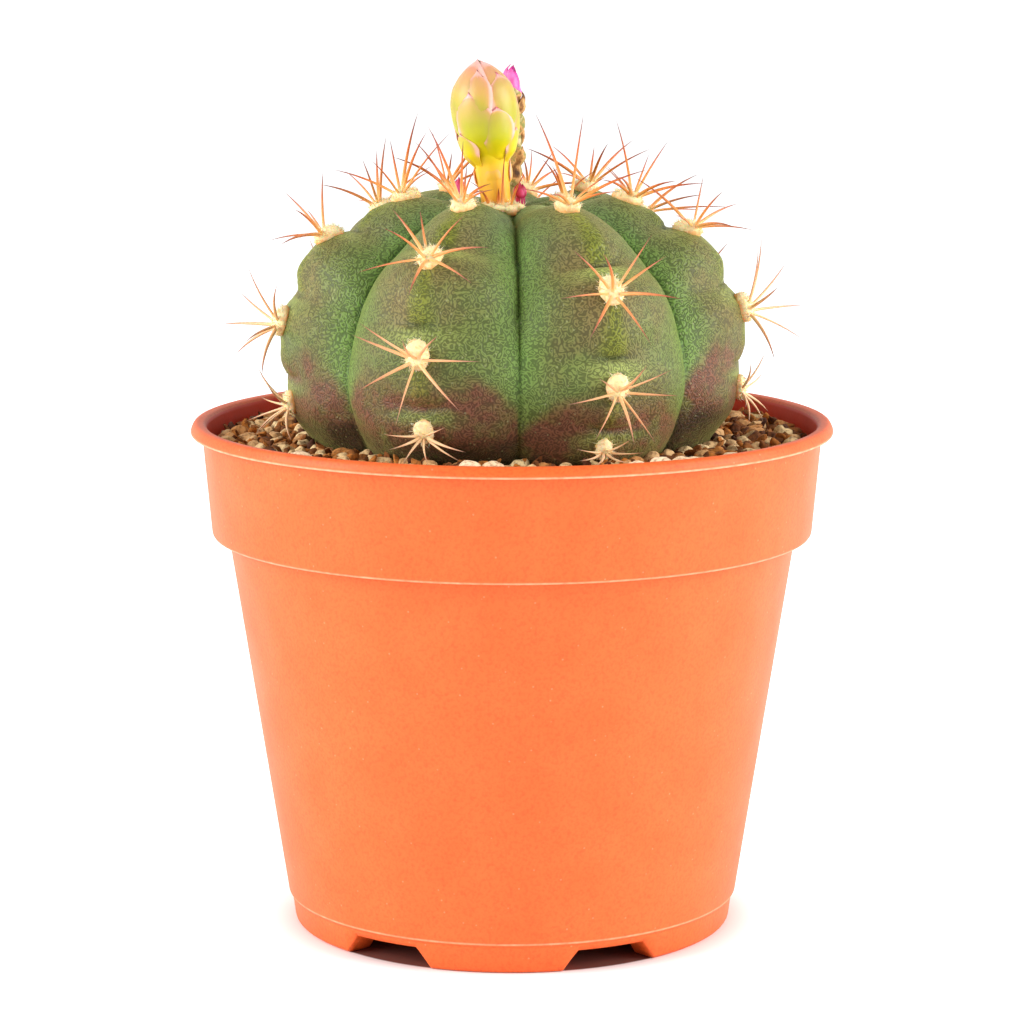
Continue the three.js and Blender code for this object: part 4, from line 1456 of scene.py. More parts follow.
@dataclass
class Spines:
    """Spines that stand where the CAD model's spines stand: round, tapered and slightly bowed. Three at the
    bud's foot are added to them."""

    thickness: float = 0.36
    unevenness: Pair = (0.82, 0.18)  # of the thickness: its mean and its swing
    taper: float = 1.7
    point: float = 0.04  # the thickness left at the tip
    bow: float = 8
    spread: float = 0.8
    collar: float = 3.3  # how far from the bud's middle the spines round it stand
    shortest: float = 3
    sharpest: float = 45  # a CAD spine's tip has less than this in all its faces' corners, in degrees
    # Spines drawn shorter than in the CAD model, since the photograph shows none where they would reach.
    trims: dict[tuple[str, int], float] = field(
        default_factory=lambda: {
            ("areole_rib1_1", 6): 0.45, ("areole_rib4_3", 7): 0.6, ("areole_rib6_3", 0): 0.42,
            ("areole_rib6_3", 1): 0.42, ("areole_rib6_3", 2): 0.5, ("areole_rib6_3", 3): 0.6,
        }
    )
    # The tips of the spines in front of the bud's foot, which the CAD model lacks.
    foot_tips: tuple[Point, ...] = (
        (-5.9, -8.9, 138.7), (-2.4, -7.6, 139.0), (-1.3, -7.9, 145.2),
    )
    sides: int = 8
    steps: int = 10
    finish: Finish = SpineHorn("spine horn, orange with a red-brown point")
    tree: Tree = field(init=False)
    material: bpy.types.Material = field(init=False)

    def __post_init__(self) -> None:
        """Makes the finish and the tree that both grow every rib's spines."""
        self.material = self.finish.material()
        self.tree = self.recipe()

    def recipe(self) -> Tree:
        """The tree that stands a tapered spine on each point along its aim, bowed away from the skin.

        Returns:
            The tree, which reads aim, away, reach and thick on the points.
        """
        tree, given = new_tree("spine_fan", Bow="Float", Sides="Int", Steps="Int", Material="Material")
        ends = {"Start": (0, 0, 0), "End": (0, 0, 1)}
        line = add(tree, "GeometryNodeCurvePrimitiveLine", ends).outputs[0]
        stretches = {"Curve": line, "Count": given["Steps"]}
        spine = add(tree, "GeometryNodeResampleCurve", stretches).outputs[0]
        along = add(tree, "GeometryNodeSplineParameter").outputs[0]
        marked = stored(tree, spine, "along", along, "POINT")
        bent = maths(tree, "POWER", along, self.taper)
        taper = add(tree, "ShaderNodeMapRange", {0: bent, 3: 1.0, 4: self.point}).outputs[0]
        ring = add(tree, "GeometryNodeCurvePrimitiveCircle", {0: given["Sides"], 4: 1.0}).outputs[0]
        section = {0: marked, 1: ring, "Scale": taper, "Fill Caps": True}
        solid = add(tree, "GeometryNodeCurveToMesh", section).outputs[0]
        done = named(tree, "along")
        arch = maths(tree, "MULTIPLY", done, maths(tree, "SUBTRACT", 1.0, done))
        bowed = maths(tree, "MULTIPLY", arch, given["Bow"])
        shift = add(tree, "ShaderNodeCombineXYZ", {0: bowed}).outputs[0]
        solid = add(tree, "GeometryNodeSetPosition", {"Geometry": solid, "Offset": shift}).outputs[0]
        aim, away = [named(tree, name, "FLOAT_VECTOR") for name in ("aim", "away")]
        reach, thick = [named(tree, name) for name in ("reach", "thick")]
        turned = add(tree, "FunctionNodeAlignRotationToVector", {"Vector": aim}, axis="Z").outputs[0]
        turned = add(
            tree,
            "FunctionNodeAlignRotationToVector",
            {"Rotation": turned, "Vector": away},
            axis="X",
            pivot_axis="Z",
        ).outputs[0]
        scale = add(tree, "ShaderNodeCombineXYZ", {0: thick, 1: thick, 2: reach}).outputs[0]
        fan = copies(tree, given["Geometry"], solid, turned, scale)
        end_tree(tree, fan, given["Material"])
        return tree

    def tips(self, node: str) -> Array:
        """Finds the points of a CAD areole's spines: the corners whose faces are all slivers.

        Args:
            node: the CAD node's name.

        Returns:
            The tips in millimetres, one a row.
        """
        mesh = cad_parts[node].data
        points = np.empty(len(mesh.vertices) * 3)
        mesh.vertices.foreach_get("co", points)
        points = points.reshape(-1, 3) / MM
        spread: dict[tuple, float] = {}
        for face in mesh.polygons:
            corners = [points[v] for v in face.vertices]
            for i, corner in enumerate(corners):
                a, b = unit(corners[i - 1] - corner), unit(corners[(i + 1) % len(corners)] - corner)
                key = tuple(np.round(corner, 2))
                spread[key] = spread.get(key, 0) + math.degrees(math.acos(float(np.clip(a @ b, -1, 1))))
        return np.array([key for key, total in sorted(spread.items()) if total < self.sharpest])

    def fan(self, place: AreolePlace) -> Iterator[Spine]:
        """Finds the spines of one areole.

        Args:
            place: the areole.

        Yields:
            Its spines, with lengths in metres as the tree reads them.
        """
        at_bud = place.node == FLOWERING
        tips = self.tips(place.node)
        if at_bud:
            tips = np.vstack([tips, self.foot_tips])
        mean, swing = self.unevenness
        for i, tip in enumerate(tips):
            root = place.root()
            if at_bud:
                root = place.point + self.collar * unit((tip - place.point) * np.array([1, 1, 0]))
            if np.linalg.norm(tip - root) < self.shortest:
                continue
            if not at_bud:
                towards = unit(tip - root)
                sideways = towards - (towards @ place.normal) * place.normal
                root = root + self.spread * place.size * sideways
            tip = root + self.trims.get((place.node, i), 1.0) * (tip - root)
            reach = float(np.linalg.norm(tip - root)) * MM
            slim = mean + swing * math.sin(5 * i + place.point[0])
            thick = self.thickness * slim * (0.62 + 0.38 * place.size) * MM
            yield Spine(root, unit(tip - root), place.normal, reach, thick, place.age)

    def build(self, name: str, places: Sequence[AreolePlace]) -> None:
        """Grows the spines of several areoles as one piece.

        Args:
            name: the piece's name.
            places: the areoles.
        """
        spines = [spine for place in places for spine in self.fan(place)]
        host = bare_host(name, np.array([spine.root for spine in spines]), [])
        for mask in ("aim", "away"):
            vectors = np.array([getattr(spine, mask) for spine in spines], dtype=np.float32)
            layer = host.data.attributes.new(mask, "FLOAT_VECTOR", "POINT")
            layer.data.foreach_set("vector", vectors.ravel())
        for mask in ("reach", "thick", "age"):
            values = np.array([getattr(spine, mask) for spine in spines], dtype=np.float32)
            layer = host.data.attributes.new(mask, "FLOAT", "POINT")
            layer.data.foreach_set("value", values)
        given = {"Bow": self.bow, "Sides": self.sides, "Steps": self.steps, "Material": self.material}
        piece = grown(host, self.tree, given)
        settle(piece, Slot.SPINES, *[place.node for place in places])


@dataclass
class Wool:
    """The areoles' wool: lumpy felt pads with short stray fibres."""

    along: float = 2.85
    across: float = 2.3
    height: float = 1.8
    shift: float = -0.3
    fibre_length: float = 1.05
    fibre_thickness: float = 0.075
    fibres_per_mm2: float = 4.5
    fibre_lean: float = 0.75
    fibre_sizes: Pair = (0.5, 1.15)
    fibre_rise: float = 0.8
    fibre_foot: float = 0.12  # no fibre grows below this share of a pad's rise
    seed: int = 5
    size_seed: int = 2
    # A pad's lumps: each one's height, and how many there are in a radius.
    lumps: tuple[Pair, ...] = ((0.16, 2.1), (0.1, 5))
    # The collar round the bud's foot, and the tufts in front of it.
    collar_half: Point = (3.5, 3.2, 1.7)
    tuft_half: Point = (1.5, 1.2, 1.1)
    tufts: tuple[Point, ...] = (
        (-1.8, -2.9, 0.4), (0.2, -3.6, -0.1), (2.2, -3.3, -0.3), (3.7, -2.0, 0.0),
    )
    finish: Finish = AreoleWool("areole wool, cream felt")
    tree: Tree = field(init=False)
    material: bpy.types.Material = field(init=False)

    def __post_init__(self) -> None:
        """Makes the finish and the tree that both grow every rib's wool."""
        self.material = self.finish.material()
        self.tree = self.recipe()

    def recipe(self) -> Tree:
        """The tree that grows short fibres out of the pads and keeps the pads with them.

        Returns:
            The tree, which reads rise on the pads.
        """
        tree, given = new_tree(
            "wool_fibres", Length="Float", Thickness="Float", Density="Float", Seed="Int", Material="Material"
        )
        pads = given["Geometry"]
        above = {0: named(tree, "rise"), 1: self.fibre_foot}
        hairy = add(tree, "FunctionNodeCompare", above, operation="GREATER_THAN").outputs[0]
        strewing = {"Mesh": pads, "Selection": hairy, "Density": given["Density"], "Seed": given["Seed"]}
        spread = add(tree, "GeometryNodeDistributePointsOnFaces", strewing)
        most = self.fibre_lean
        strewn = drawn(tree, (-most,) * 3, (most,) * 3, given["Seed"], "FLOAT_VECTOR")
        lean = add(tree, "ShaderNodeVectorMath", {0: spread.outputs["Normal"], 1: strewn}, operation="ADD")
        aim = {"Vector": lean.outputs[0]}
        turned = add(tree, "FunctionNodeAlignRotationToVector", aim, axis="Z").outputs[0]
        cone = {"Vertices": 3, "Radius Top": 0.0, "Radius Bottom": given["Thickness"]}
        cone["Depth"] = given["Length"]
        fibre = add(tree, "GeometryNodeMeshCone", cone, fill_type="TRIANGLE_FAN").outputs[0]
        size = drawn(tree, *self.fibre_sizes, self.size_seed)
        fibres = copies(tree, spread.outputs[0], fibre, turned, size)
        marked = stored(tree, fibres, "rise", self.fibre_rise, "INSTANCE")
        both = add(tree, "GeometryNodeJoinGeometry", {0: pads})
        tree.links.new(marked, both.inputs[0])
        end_tree(tree, both.outputs[0], given["Material"])
        return tree

    def pad(self, place: AreolePlace, half: Point) -> Shape:
        """One lumpy pad.

        Args:
            place: the areole.
            half: its half sizes along the side, up and normal directions.

        Returns:
            The pad's points, faces and rise mask.
        """
        points, faces = ball()
        lumps = sum(height * ripple(points * count + place.point, 1) for height, count in self.lumps)
        shaped = points * (1 + lumps)[:, None] * np.array(half)
        basis = np.stack([place.side, place.up, place.normal])
        centre = place.point + self.shift * place.size * place.up
        return centre + shaped @ basis, faces, {"rise": points[:, 2]}

    def build(self, name: str, places: Sequence[AreolePlace]) -> None:
        """Makes the pads of several areoles and grows their fibres as one piece.

        Args:
            name: the piece's name.
            places: the areoles.
        """
        pads = []
        for place in places:
            if place.node == FLOWERING:
                half = self.collar_half
                for move in self.tufts:
                    tuft = AreolePlace("", place.point + move, place.normal, place.up, place.side, 0, 0)
                    pads.append(self.pad(tuft, self.tuft_half))
            else:
                half = tuple(place.size * size for size in (self.across, self.along, self.height))
            pads.append(self.pad(place, half))
        points, faces, masks = joined(pads)
        host = mesh_piece(name, points, faces, self.material, masks)
        values = {
            "Length": self.fibre_length * MM,
            "Thickness": self.fibre_thickness * MM,
            "Density": self.fibres_per_mm2 / MM**2,
            "Seed": self.seed,
            "Material": self.material,
        }
        settle(grown(host, self.tree, values), Slot.SPINES)


@dataclass
class Areoles:
    """Every areole of the plant, rib by rib, then those of the crown."""

    globe: Globe
    crown: tuple[tuple[str, float, float], ...] = (
        ("areole_crown_right", 84, 9),
        ("areole_crown_left", -62, 9.6),
    )
    crown_size: float = 0.75
    flowering: Point = (-2.6, -2.6, 134.9)
    row_ages: tuple[float, ...] = (0.0, 0.12, 0.45, 0.85)

    def place(self, node: str, azimuth: float, path: float, size: float, age: float) -> AreolePlace:
        """Finds where an areole sits on the skin."""
        point, normal, up, side = self.globe.frame(azimuth, path)
        return AreolePlace(node, point, normal, up, side, size, age)

    def build(self) -> None:
        """Grows the wool and the spines, one piece of each for a rib and one of each for the crown."""
        spines, wool = Spines(), Wool()
        for rib, areoles in enumerate(AREOLES):
            places = []
            for row, (path, aside, size) in enumerate(areoles):
                azimuth = FIRST_RIB + rib * 360 / RIBS + aside
                node = f"areole_rib{rib + 1}_{row + 1}"
                places.append(self.place(node, azimuth, path, size, self.row_ages[row]))
            spines.build(f"spines_rib{rib + 1}", places)
            wool.build(f"wool_rib{rib + 1}", places)
        places = [self.place(node, azimuth, path, self.crown_size, 0) for node, azimuth, path in self.crown]
        centre = np.array(self.flowering)
        x, y, z = np.eye(3)
        places.append(AreolePlace(FLOWERING, centre, z, y, x, 1, 0))
        spines.build("spines_crown", places)
        wool.build("wool_crown", places)


# The bud, the withered flower and the young buds


@dataclass
class Scale:
    """One scale on a stem: where it sits, how big it is and how it is tinted."""

    azimuth: float
    base: float
    tip: float
    half_angle: float
    out: float
    warm: float = 0
    flare: float = 0
    lean: float = 0
    droop: float = 0.1
    widest: float = 0.6
    pointed: float = 0.62
    spread: float = 0


@dataclass
class Stem:
    """A round stem with an outline, which carries scales."""

    foot: Point
    tip: Point
    outline: tuple[Pair, ...]
    thickness: float = 0.45
    crumple: float = 0
    crumple_size: float = 2
    shrink: float = 0.3
    shrunk: Pair = (0.35, 0.6)
    ridges: int = 7
    ridge_height: float = 0.06
    softening: int = 5
    bulge: float = 0.35
    sink: float = 0.9
    start: Array = field(init=False)
    length: float = field(init=False)
    axis: Array = field(init=False)
    right: Array = field(init=False)
    back: Array = field(init=False)
    shares: Array = field(init=False)
    radii: Array = field(init=False)

    def __post_init__(self) -> None:
        """Works out the stem's axis, the directions to its right and its back, and its softened outline."""
        self.start = np.array(self.foot, dtype=float)
        end = np.array(self.tip, dtype=float)
        self.length = float(np.linalg.norm(end - self.start))
        self.axis = unit(end - self.start)
        right = np.array([1.0, 0, 0])
        self.right = unit(right - (right @ self.axis) * self.axis)
        self.back = np.cross(self.axis, self.right)
        shares, radii = zip(*self.outline)
        fine = np.linspace(0, 1, 161)
        rounded = np.interp(fine, shares, radii)
        window = np.hanning(2 * self.softening + 1)
        padded = np.pad(rounded, self.softening, mode="edge")
        inner = np.convolve(padded, window / window.sum(), mode="valid")
        self.shares, self.radii = fine, inner * smooth(1 - fine, -0.02, 0.035)

    def radius(self, share: Array) -> Array:
        """The stem's radius at shares of its length."""
        return np.interp(share, self.shares, self.radii)

    def points(self, azimuth: Array, share: Array, out: Array) -> Array:
        """Finds places on the stem.

        Args:
            azimuth: their azimuths.
            share: how far up the stem they are, from 0 to 1.
            out: how far they are moved out from the outline.

        Returns:
            The points, one a row.
        """
        angle = np.radians(azimuth)
        radius = np.maximum(0, self.radius(share) + out)
        around = np.sin(angle)[:, None] * self.right - np.cos(angle)[:, None] * self.back
        points = self.start + np.outer(share * self.length, self.axis) + around * radius[:, None]
        if self.crumple:
            shift = np.stack([ripple(points + 31 * i, self.crumple_size) for i in range(3)], axis=1)
            points = points + self.crumple * shift * smooth(share, 0, 0.2)[:, None]
        return points

    def tube(self, top: float, sides: int = 40, rows: int = 60) -> Shape:
        """The stem's core.

        Args:
            top: the share of the stem's length that it ends at.
            sides: how many sides it has.
            rows: how many rows of points it has.

        Returns:
            Its points, faces and masks.
        """
        azimuths = np.linspace(0, 360, sides, endpoint=False)
        shares = np.linspace(0, top, rows)
        grid_azimuth, grid_share = np.tile(azimuths, rows), np.repeat(shares, sides)
        ridges = self.ridge_height * np.cos(np.radians(grid_azimuth * self.ridges))
        ridges = ridges - self.shrink * smooth(grid_share, *self.shrunk)
        points = self.points(grid_azimuth, grid_share, ridges)
        caps = [np.tile(self.start + share * self.length * self.axis, (sides, 1)) for share in (0, top)]
        points = np.concatenate([caps[0], points, caps[1]])
        height = np.concatenate([np.zeros(sides), grid_share, np.full(sides, top)])
        masks = {"height": height, "edge": 0 * height, "tip": 0 * height, "warm": 0 * height}
        return points, grid_faces(rows + 2, sides, closed=True), masks

    def scale(self, scale: Scale, rows: int = 16, columns: int = 13) -> Shape:
        """One scale: a thin closed blade that hugs the stem.

        Args:
            scale: where it sits and how it is shaped.
            rows: how many rows of points it has.
            columns: how many points a row has.

        Returns:
            Its points, faces and masks.
        """
        along = np.repeat(np.linspace(0, 1, rows), columns)
        across = np.tile(np.linspace(-1, 1, columns), rows)
        past = np.clip((along - scale.widest) / (1 - scale.widest), 0, 1)
        width = (1 - past**2) ** scale.pointed * (0.72 + 0.28 * smooth(along, 0, scale.widest))
        width = np.maximum(width, 0.02) * (1 + scale.spread * smooth(along, 0.45, 0.95))
        share = scale.base + (scale.tip - scale.base) * along
        droop = scale.droop * (scale.tip - scale.base) * across**2 * smooth(along, 0.2, 0.8)
        azimuth = scale.azimuth + scale.half_angle * across * width + scale.lean * smooth(along, 0.35, 1)
        bulge = self.bulge * np.cos(across * math.pi / 2) * np.sin(math.pi * along)
        sink = -self.sink * (1 - smooth(along, 0, 0.4))
        close = (scale.out + 0.1 * across) * (1 - smooth(share, 0.96, 1))
        out = close + bulge + sink + scale.flare * along**3
        thin = self.thickness * (1 - 0.55 * np.abs(across) ** 3) * (1 - 0.5 * along**3)
        front = self.points(azimuth, share - droop, out)
        rear = self.points(azimuth, share - droop, out - thin)
        faces = grid_faces(rows, columns, closed=False)
        size = rows * columns
        faces += [tuple(corner + size for corner in reversed(face)) for face in faces]
        rim = list(range(columns)) + [r * columns + columns - 1 for r in range(1, rows)]
        rim += [(rows - 1) * columns + c for c in range(columns - 2, -1, -1)]
        rim += [r * columns for r in range(rows - 2, 0, -1)]
        for a, b in zip(rim, rim[1:] + rim[:1]):
            faces.append((b, a, a + size, b + size))
        near = np.maximum(np.abs(across), smooth(along, 0.75, 1.0))
        edge = smooth(near, 0.4, 1.0) * smooth(along, 0.12, 0.5)
        tip = smooth(along, 0.95, 1.0) * (1 - smooth(np.abs(across), 0.3, 1)) * (scale.pointed > 0.3)
        warm = scale.warm * smooth(along, 0.45, 1.0)
        masks = {"height": share, "edge": edge, "tip": tip, "warm": warm}
        masks = {mask: np.concatenate([values, values]) for mask, values in masks.items()}
        return np.concatenate([front, rear]), faces, masks


@dataclass
class FlowerBud:
    """The fat flower bud: a fleshy tube that swells into a closed head of overlapping scales."""

    stem: Stem = field(
        default_factory=lambda: Stem(
            foot=(-2.6, -2.6, 133.4),
            tip=(-6.2, -3.2, 162.3),
            outline=(
                (0, 2.7), (0.13, 2.75), (0.34, 3.2), (0.42, 4.0), (0.52, 5.0), (0.64, 5.5), (0.74, 5.6),
                (0.83, 5.0), (0.91, 3.4), (0.97, 1.4), (1, 0.2),
            ),
        )
    )
    scales: tuple[Scale, ...] = (
        Scale(-66, 0.52, 1.0, 84, 0.3, warm=0.8, widest=0.5, pointed=0.06, droop=0.01),
        Scale(72, 0.52, 0.99, 84, 0.2, warm=0.6, widest=0.5, pointed=0.06, droop=0.01),
        Scale(185, 0.52, 0.995, 84, 0.24, warm=0.6, widest=0.5, pointed=0.06, droop=0.01),
        Scale(-8, 0.44, 0.945, 22, 0.52, warm=0.75, widest=0.8, pointed=0.2, spread=0.3),
        Scale(52, 0.42, 0.915, 38, 0.4, warm=0.3, pointed=0.35, spread=0.35),
        Scale(-80, 0.42, 0.885, 42, 0.34, warm=0.3, spread=0.2),
        Scale(130, 0.42, 0.93, 44, 0.32, warm=0.8),
        Scale(200, 0.42, 0.9, 42, 0.34, warm=0.6),
        Scale(262, 0.42, 0.91, 40, 0.26, warm=0.8),
        Scale(-19, 0.36, 0.815, 46, 0.64, warm=0.6, pointed=0.72, lean=-6),
        Scale(24, 0.36, 0.705, 35, 0.8, warm=0.3, pointed=0.5, lean=-2),
        Scale(96, 0.34, 0.74, 42, 0.62, warm=0.4),
        Scale(158, 0.34, 0.72, 40, 0.66, warm=0.5),
        Scale(228, 0.34, 0.73, 42, 0.62, warm=0.4),
        Scale(-58, 0.32, 0.56, 36, 0.72, warm=0.3),
        Scale(66, 0.32, 0.555, 26, 0.78, warm=0.2),
        Scale(128, 0.3, 0.55, 34, 0.72, warm=0.3),
        Scale(200, 0.3, 0.56, 36, 0.72, warm=0.3),
        Scale(268, 0.3, 0.54, 34, 0.7, warm=0.3),
        Scale(-5, 0.18, 0.35, 44, -0.24, warm=0.9, pointed=0.4),
        Scale(110, 0.16, 0.36, 34, 0.42, warm=0.8),
        Scale(230, 0.16, 0.35, 34, 0.42, warm=0.8),
    )
    finish: Finish = BudFlesh("bud flesh, lime with pink margins")

    def build(self) -> None:
        """Makes the tube and the scales, which together stand for the CAD bud."""
        material = self.finish.material()
        points, faces, masks = self.stem.tube(0.97)
        tube = mesh_piece("bud_tube", points, faces, material, masks)
        points, faces, masks = joined([self.stem.scale(scale) for scale in self.scales])
        scales = mesh_piece("bud_scale_leaves", points, faces, material, masks, crease=70)
        settle(tube, Slot.BUD, "flower_bud")
        settle(scales, Slot.BUD, "flower_bud")


@dataclass
class WitheredFlower:
    """The withered flower behind the bud: a shrivelled tube, dry scales and a wisp of faded petals."""

    stem: Stem = field(
        default_factory=lambda: Stem(
            foot=(-0.1, 6.4, 133.8),
            tip=(-0.2, 5.4, 161.3),
            outline=((0, 1.7), (0.2, 1.7), (0.35, 2.1), (0.6, 2.4), (0.75, 2.1), (0.88, 1.5), (1, 0.7)),
            thickness=0.3,
            crumple=0.45,
            crumple_size=2.2,
        )
    )
    count: int = 15
    lowest: float = 0.12
    spacing: float = 0.046
    scale_length: float = 0.19
    scale_half: float = 50
    petals: tuple[Scale, ...] = (
        Scale(50, 0.74, 0.95, 70, 0.1, pointed=0.5),
        Scale(-60, 0.7, 0.995, 75, 0.1, pointed=0.45),
        Scale(150, 0.7, 0.985, 75, 0.1, pointed=0.5),
        Scale(235, 0.7, 0.97, 75, 0.1, pointed=0.5),
        Scale(5, 0.72, 0.985, 70, 0.2, pointed=0.5),
    )
    dry: Finish = DriedTissue("dried flower tissue, brown and straw")
    petal: Finish = PetalTissue("faded petal tissue, magenta")

    def build(self) -> None:
        """Makes the tube with its scales, and the petals, which together stand for the CAD flower."""
        parts = [self.stem.tube(0.86, sides=26, rows=46)]
        for i in range(self.count):
            base = self.lowest + self.spacing * i
            scale = Scale(
                GOLDEN_ANGLE * i + 20,
                base,
                base + self.scale_length,
                self.scale_half,
                0.1 + 0.08 * (i % 3),
                flare=0.06 * (i % 2),
                pointed=0.8,
            )
            parts.append(self.stem.scale(scale, rows=9, columns=9))
        points, faces, masks = joined(parts)
        dry = mesh_piece("withered_tube", points, faces, self.dry.material(), masks, crease=50)
        points, faces, masks = joined([self.stem.scale(petal, rows=11, columns=9) for petal in self.petals])
        wisp = mesh_piece("withered_petal_wisp", points, faces, self.petal.material(), masks, crease=50)
        settle(dry, Slot.WITHERED, "withered_flower")
        settle(wisp, Slot.WITHERED, "withered_flower")


@dataclass
class YoungBuds:
    """The young buds beside the big one: small crimson eggs wrapped in scales."""

    places: tuple[tuple[str, tuple, tuple, float], ...] = (
        ("young_bud_left", (-9.6, 3, 134.4), (-9.8, 2.8, 140.6), 1.05),
        ("young_bud_right", (1.6, 0.7, 134.2), (1.5, 0.5, 139.9), 1.1),
    )
    count: int = 6
    scale_length: float = 0.5
    scale_half: float = 60
    finish: Finish = PetalTissue("young bud tissue, crimson", light="#e2447a", deep="#b80d3c")

    def build(self) -> None:
        """Makes each young bud."""
        material = self.finish.material()
        for node, foot, tip, radius in self.places:
            outline = ((0, radius * 0.75), (0.45, radius * 0.85), (0.75, radius * 0.65), (1, 0.05))
            stem = Stem(foot=foot, tip=tip, outline=outline, thickness=0.2)
            parts = [stem.tube(1.0, sides=20, rows=20)]
            for i in range(self.count):
                base = 0.3 + 0.08 * (i // 2)
                top = min(0.99, base + self.scale_length)
                out = 0.2 - 0.03 * i
                scale = Scale(GOLDEN_ANGLE * i, base, top, self.scale_half, out, pointed=0.75)
                parts.append(stem.scale(scale, rows=9, columns=9))
            points, faces, masks = joined(parts)
            piece = mesh_piece(f"{node}_scales", points, faces, material, masks)
            settle(piece, Slot.YOUNG, node)


# The grit


@dataclass
class Grit:
    """The potting grit: a bed that fills the pot round the plant, strewn with pumice, bark and crumbs."""

    pot: Pot
    globe: Globe
    level: float = 90.4
    gap: float = 0.5
    clearance: float = 0.35  # what the bed keeps from the pot
    columns: int = 168
    # The bed's lumps: each one's height and size.
    lumps: tuple[Pair, ...] = ((0.7, 4), (0.4, 1.7))
    # The hole for the root, from its foot up, as radii and heights.
    hole: tuple[Pair, ...] = ((0, 47.4), (3.6, 48), (12.2, 76.4))
    pumice: Finish = LooseGrit("pumice grains, tan")
    pale: Finish = LooseGrit("pumice grains, pale", light="#ffe2bc", dark="#dcab74", stain="#8a5630")
    bark: Finish = LooseGrit("bark chips, brown", light="#cc7c2e", dark="#4c2004", stain="#1e0a01")
    bed: Finish = LooseGrit("potting mix, dark", light="#2e1d12", dark="#1f1208", stain="#120a04")
    grain_seed: int = 3
    shade_seed: int = 11
    turn_seed: int = 7
    size_seed: int = 9
    grain_sizes: Pair = (0.7, 1.15)
    lump_size: float = 1.9
    full_turn: float = 6.28
    densest: float = 2.5e6  # grains a square metre, before those too close together go
    # Each front grain's azimuth, distance from the middle, height and half size.
    front_grains: tuple[tuple[float, float, float, float], ...] = (
        (-7.8, 53.4, 93.9, 2.0), (-3.4, 53.2, 93.7, 2.0), (24.4, 53, 93.1, 2.0), (29.3, 53.2, 93.3, 2.2),
        (34, 53.2, 93.2, 2.0), (37.6, 52.4, 93.0, 1.7), (44, 53, 92.6, 1.7), (49, 52, 92.6, 1.9),
        (-32, 53.4, 92.8, 1.4), (-35.5, 52.8, 92.8, 1.6), (-39, 53, 92.5, 1.4), (-45, 53, 93.1, 2.1),
    )
    front_shape: Point = (1.1, 1, 0.85)

    def inner_radius(self, azimuths: Array) -> Array:
        """Finds how far the skin, with the gap round it, reaches at the grit's level.

        Args:
            azimuths: places round the plant.

        Returns:
            The radius at each of them.
        """
        paths = np.linspace(60, self.globe.paths[-1] - 12, 90)
        radii = []
        for azimuth in azimuths:
            points = self.globe.skin(np.full_like(paths, azimuth), paths, margin=self.gap)[0]
            radii.append(np.interp(-self.level, -points[:, 2], np.hypot(points[:, 0], points[:, 1])))
        return np.array(radii)

    def ring(self, inner: float, outer: float, height: float, rows: int = 8) -> tuple[Array, Faces]:
        """A flat ring between the plant and the pot.

        Args:
            inner: how far it keeps from the plant.
            outer: how far it keeps from the pot's wall.
            height: its height.
            rows: how many rows of points it has.

        Returns:
            Its points and faces.
        """
        azimuths = np.linspace(0, 360, self.columns, endpoint=False)
        wall = self.pot.collar_radius(self.level) - self.pot.wall
        near = self.inner_radius(azimuths) + inner
        rows_of = []
        for share in np.linspace(0, 1, rows):
            radius = near + share * (wall - outer - near)
            rows_of.append(circle(azimuths, radius, height))
        return np.concatenate(rows_of), grid_faces(rows, self.columns, closed=True)

    def make_bed(self) -> None:
        """Makes the closed bed: down the pot's wall, across its floor, and up round the plant's root."""
        azimuths = np.linspace(0, 360, self.columns, endpoint=False)
        shelf = self.pot.collar_height + self.pot.wall
        floor_top = self.pot.floor_height + self.pot.floor_thickness
        clear = self.pot.wall + self.clearance
        near = self.inner_radius(azimuths)
        top = []
        wall = self.pot.collar_radius(self.level) - clear
        for share in np.linspace(0, 1, 14):
            radius = near + share * (wall - near)
            points = circle(azimuths, radius, self.level)
            lump = sum(height * ripple(points, size) for height, size in self.lumps)
            points[:, 2] += lump * math.sin(math.pi * share)
            top.append(points)
        outer = [
            (self.pot.collar_radius(shelf) - clear, shelf + self.clearance),
            (self.pot.wall_radius(shelf) - clear, shelf + self.clearance),
            (self.pot.wall_radius(floor_top) - clear, floor_top + self.clearance),
            (0, floor_top + self.clearance),
        ]
        rows = top + [circle(azimuths, radius, height) for radius, height in outer]
        hole = [circle(azimuths, radius, height) for radius, height in self.hole]
        last = self.globe.paths[-1]
        for path in np.linspace(last - 13, last - 34, 7):
            points = self.globe.skin(azimuths, np.full_like(azimuths, path), margin=self.gap)[0]
            if points[:, 2].max() < self.level - 1:
                hole.append(points)
        points = np.concatenate(hole + rows)
        faces = grid_faces(len(hole) + len(rows), self.columns, closed=True)
        masks = {"shade": np.full(len(points), 0.5)}
        piece = mesh_piece("grit_bed", points, faces, self.bed.material(), masks, crease=70)
        settle(piece, Slot.GRIT, "soil")

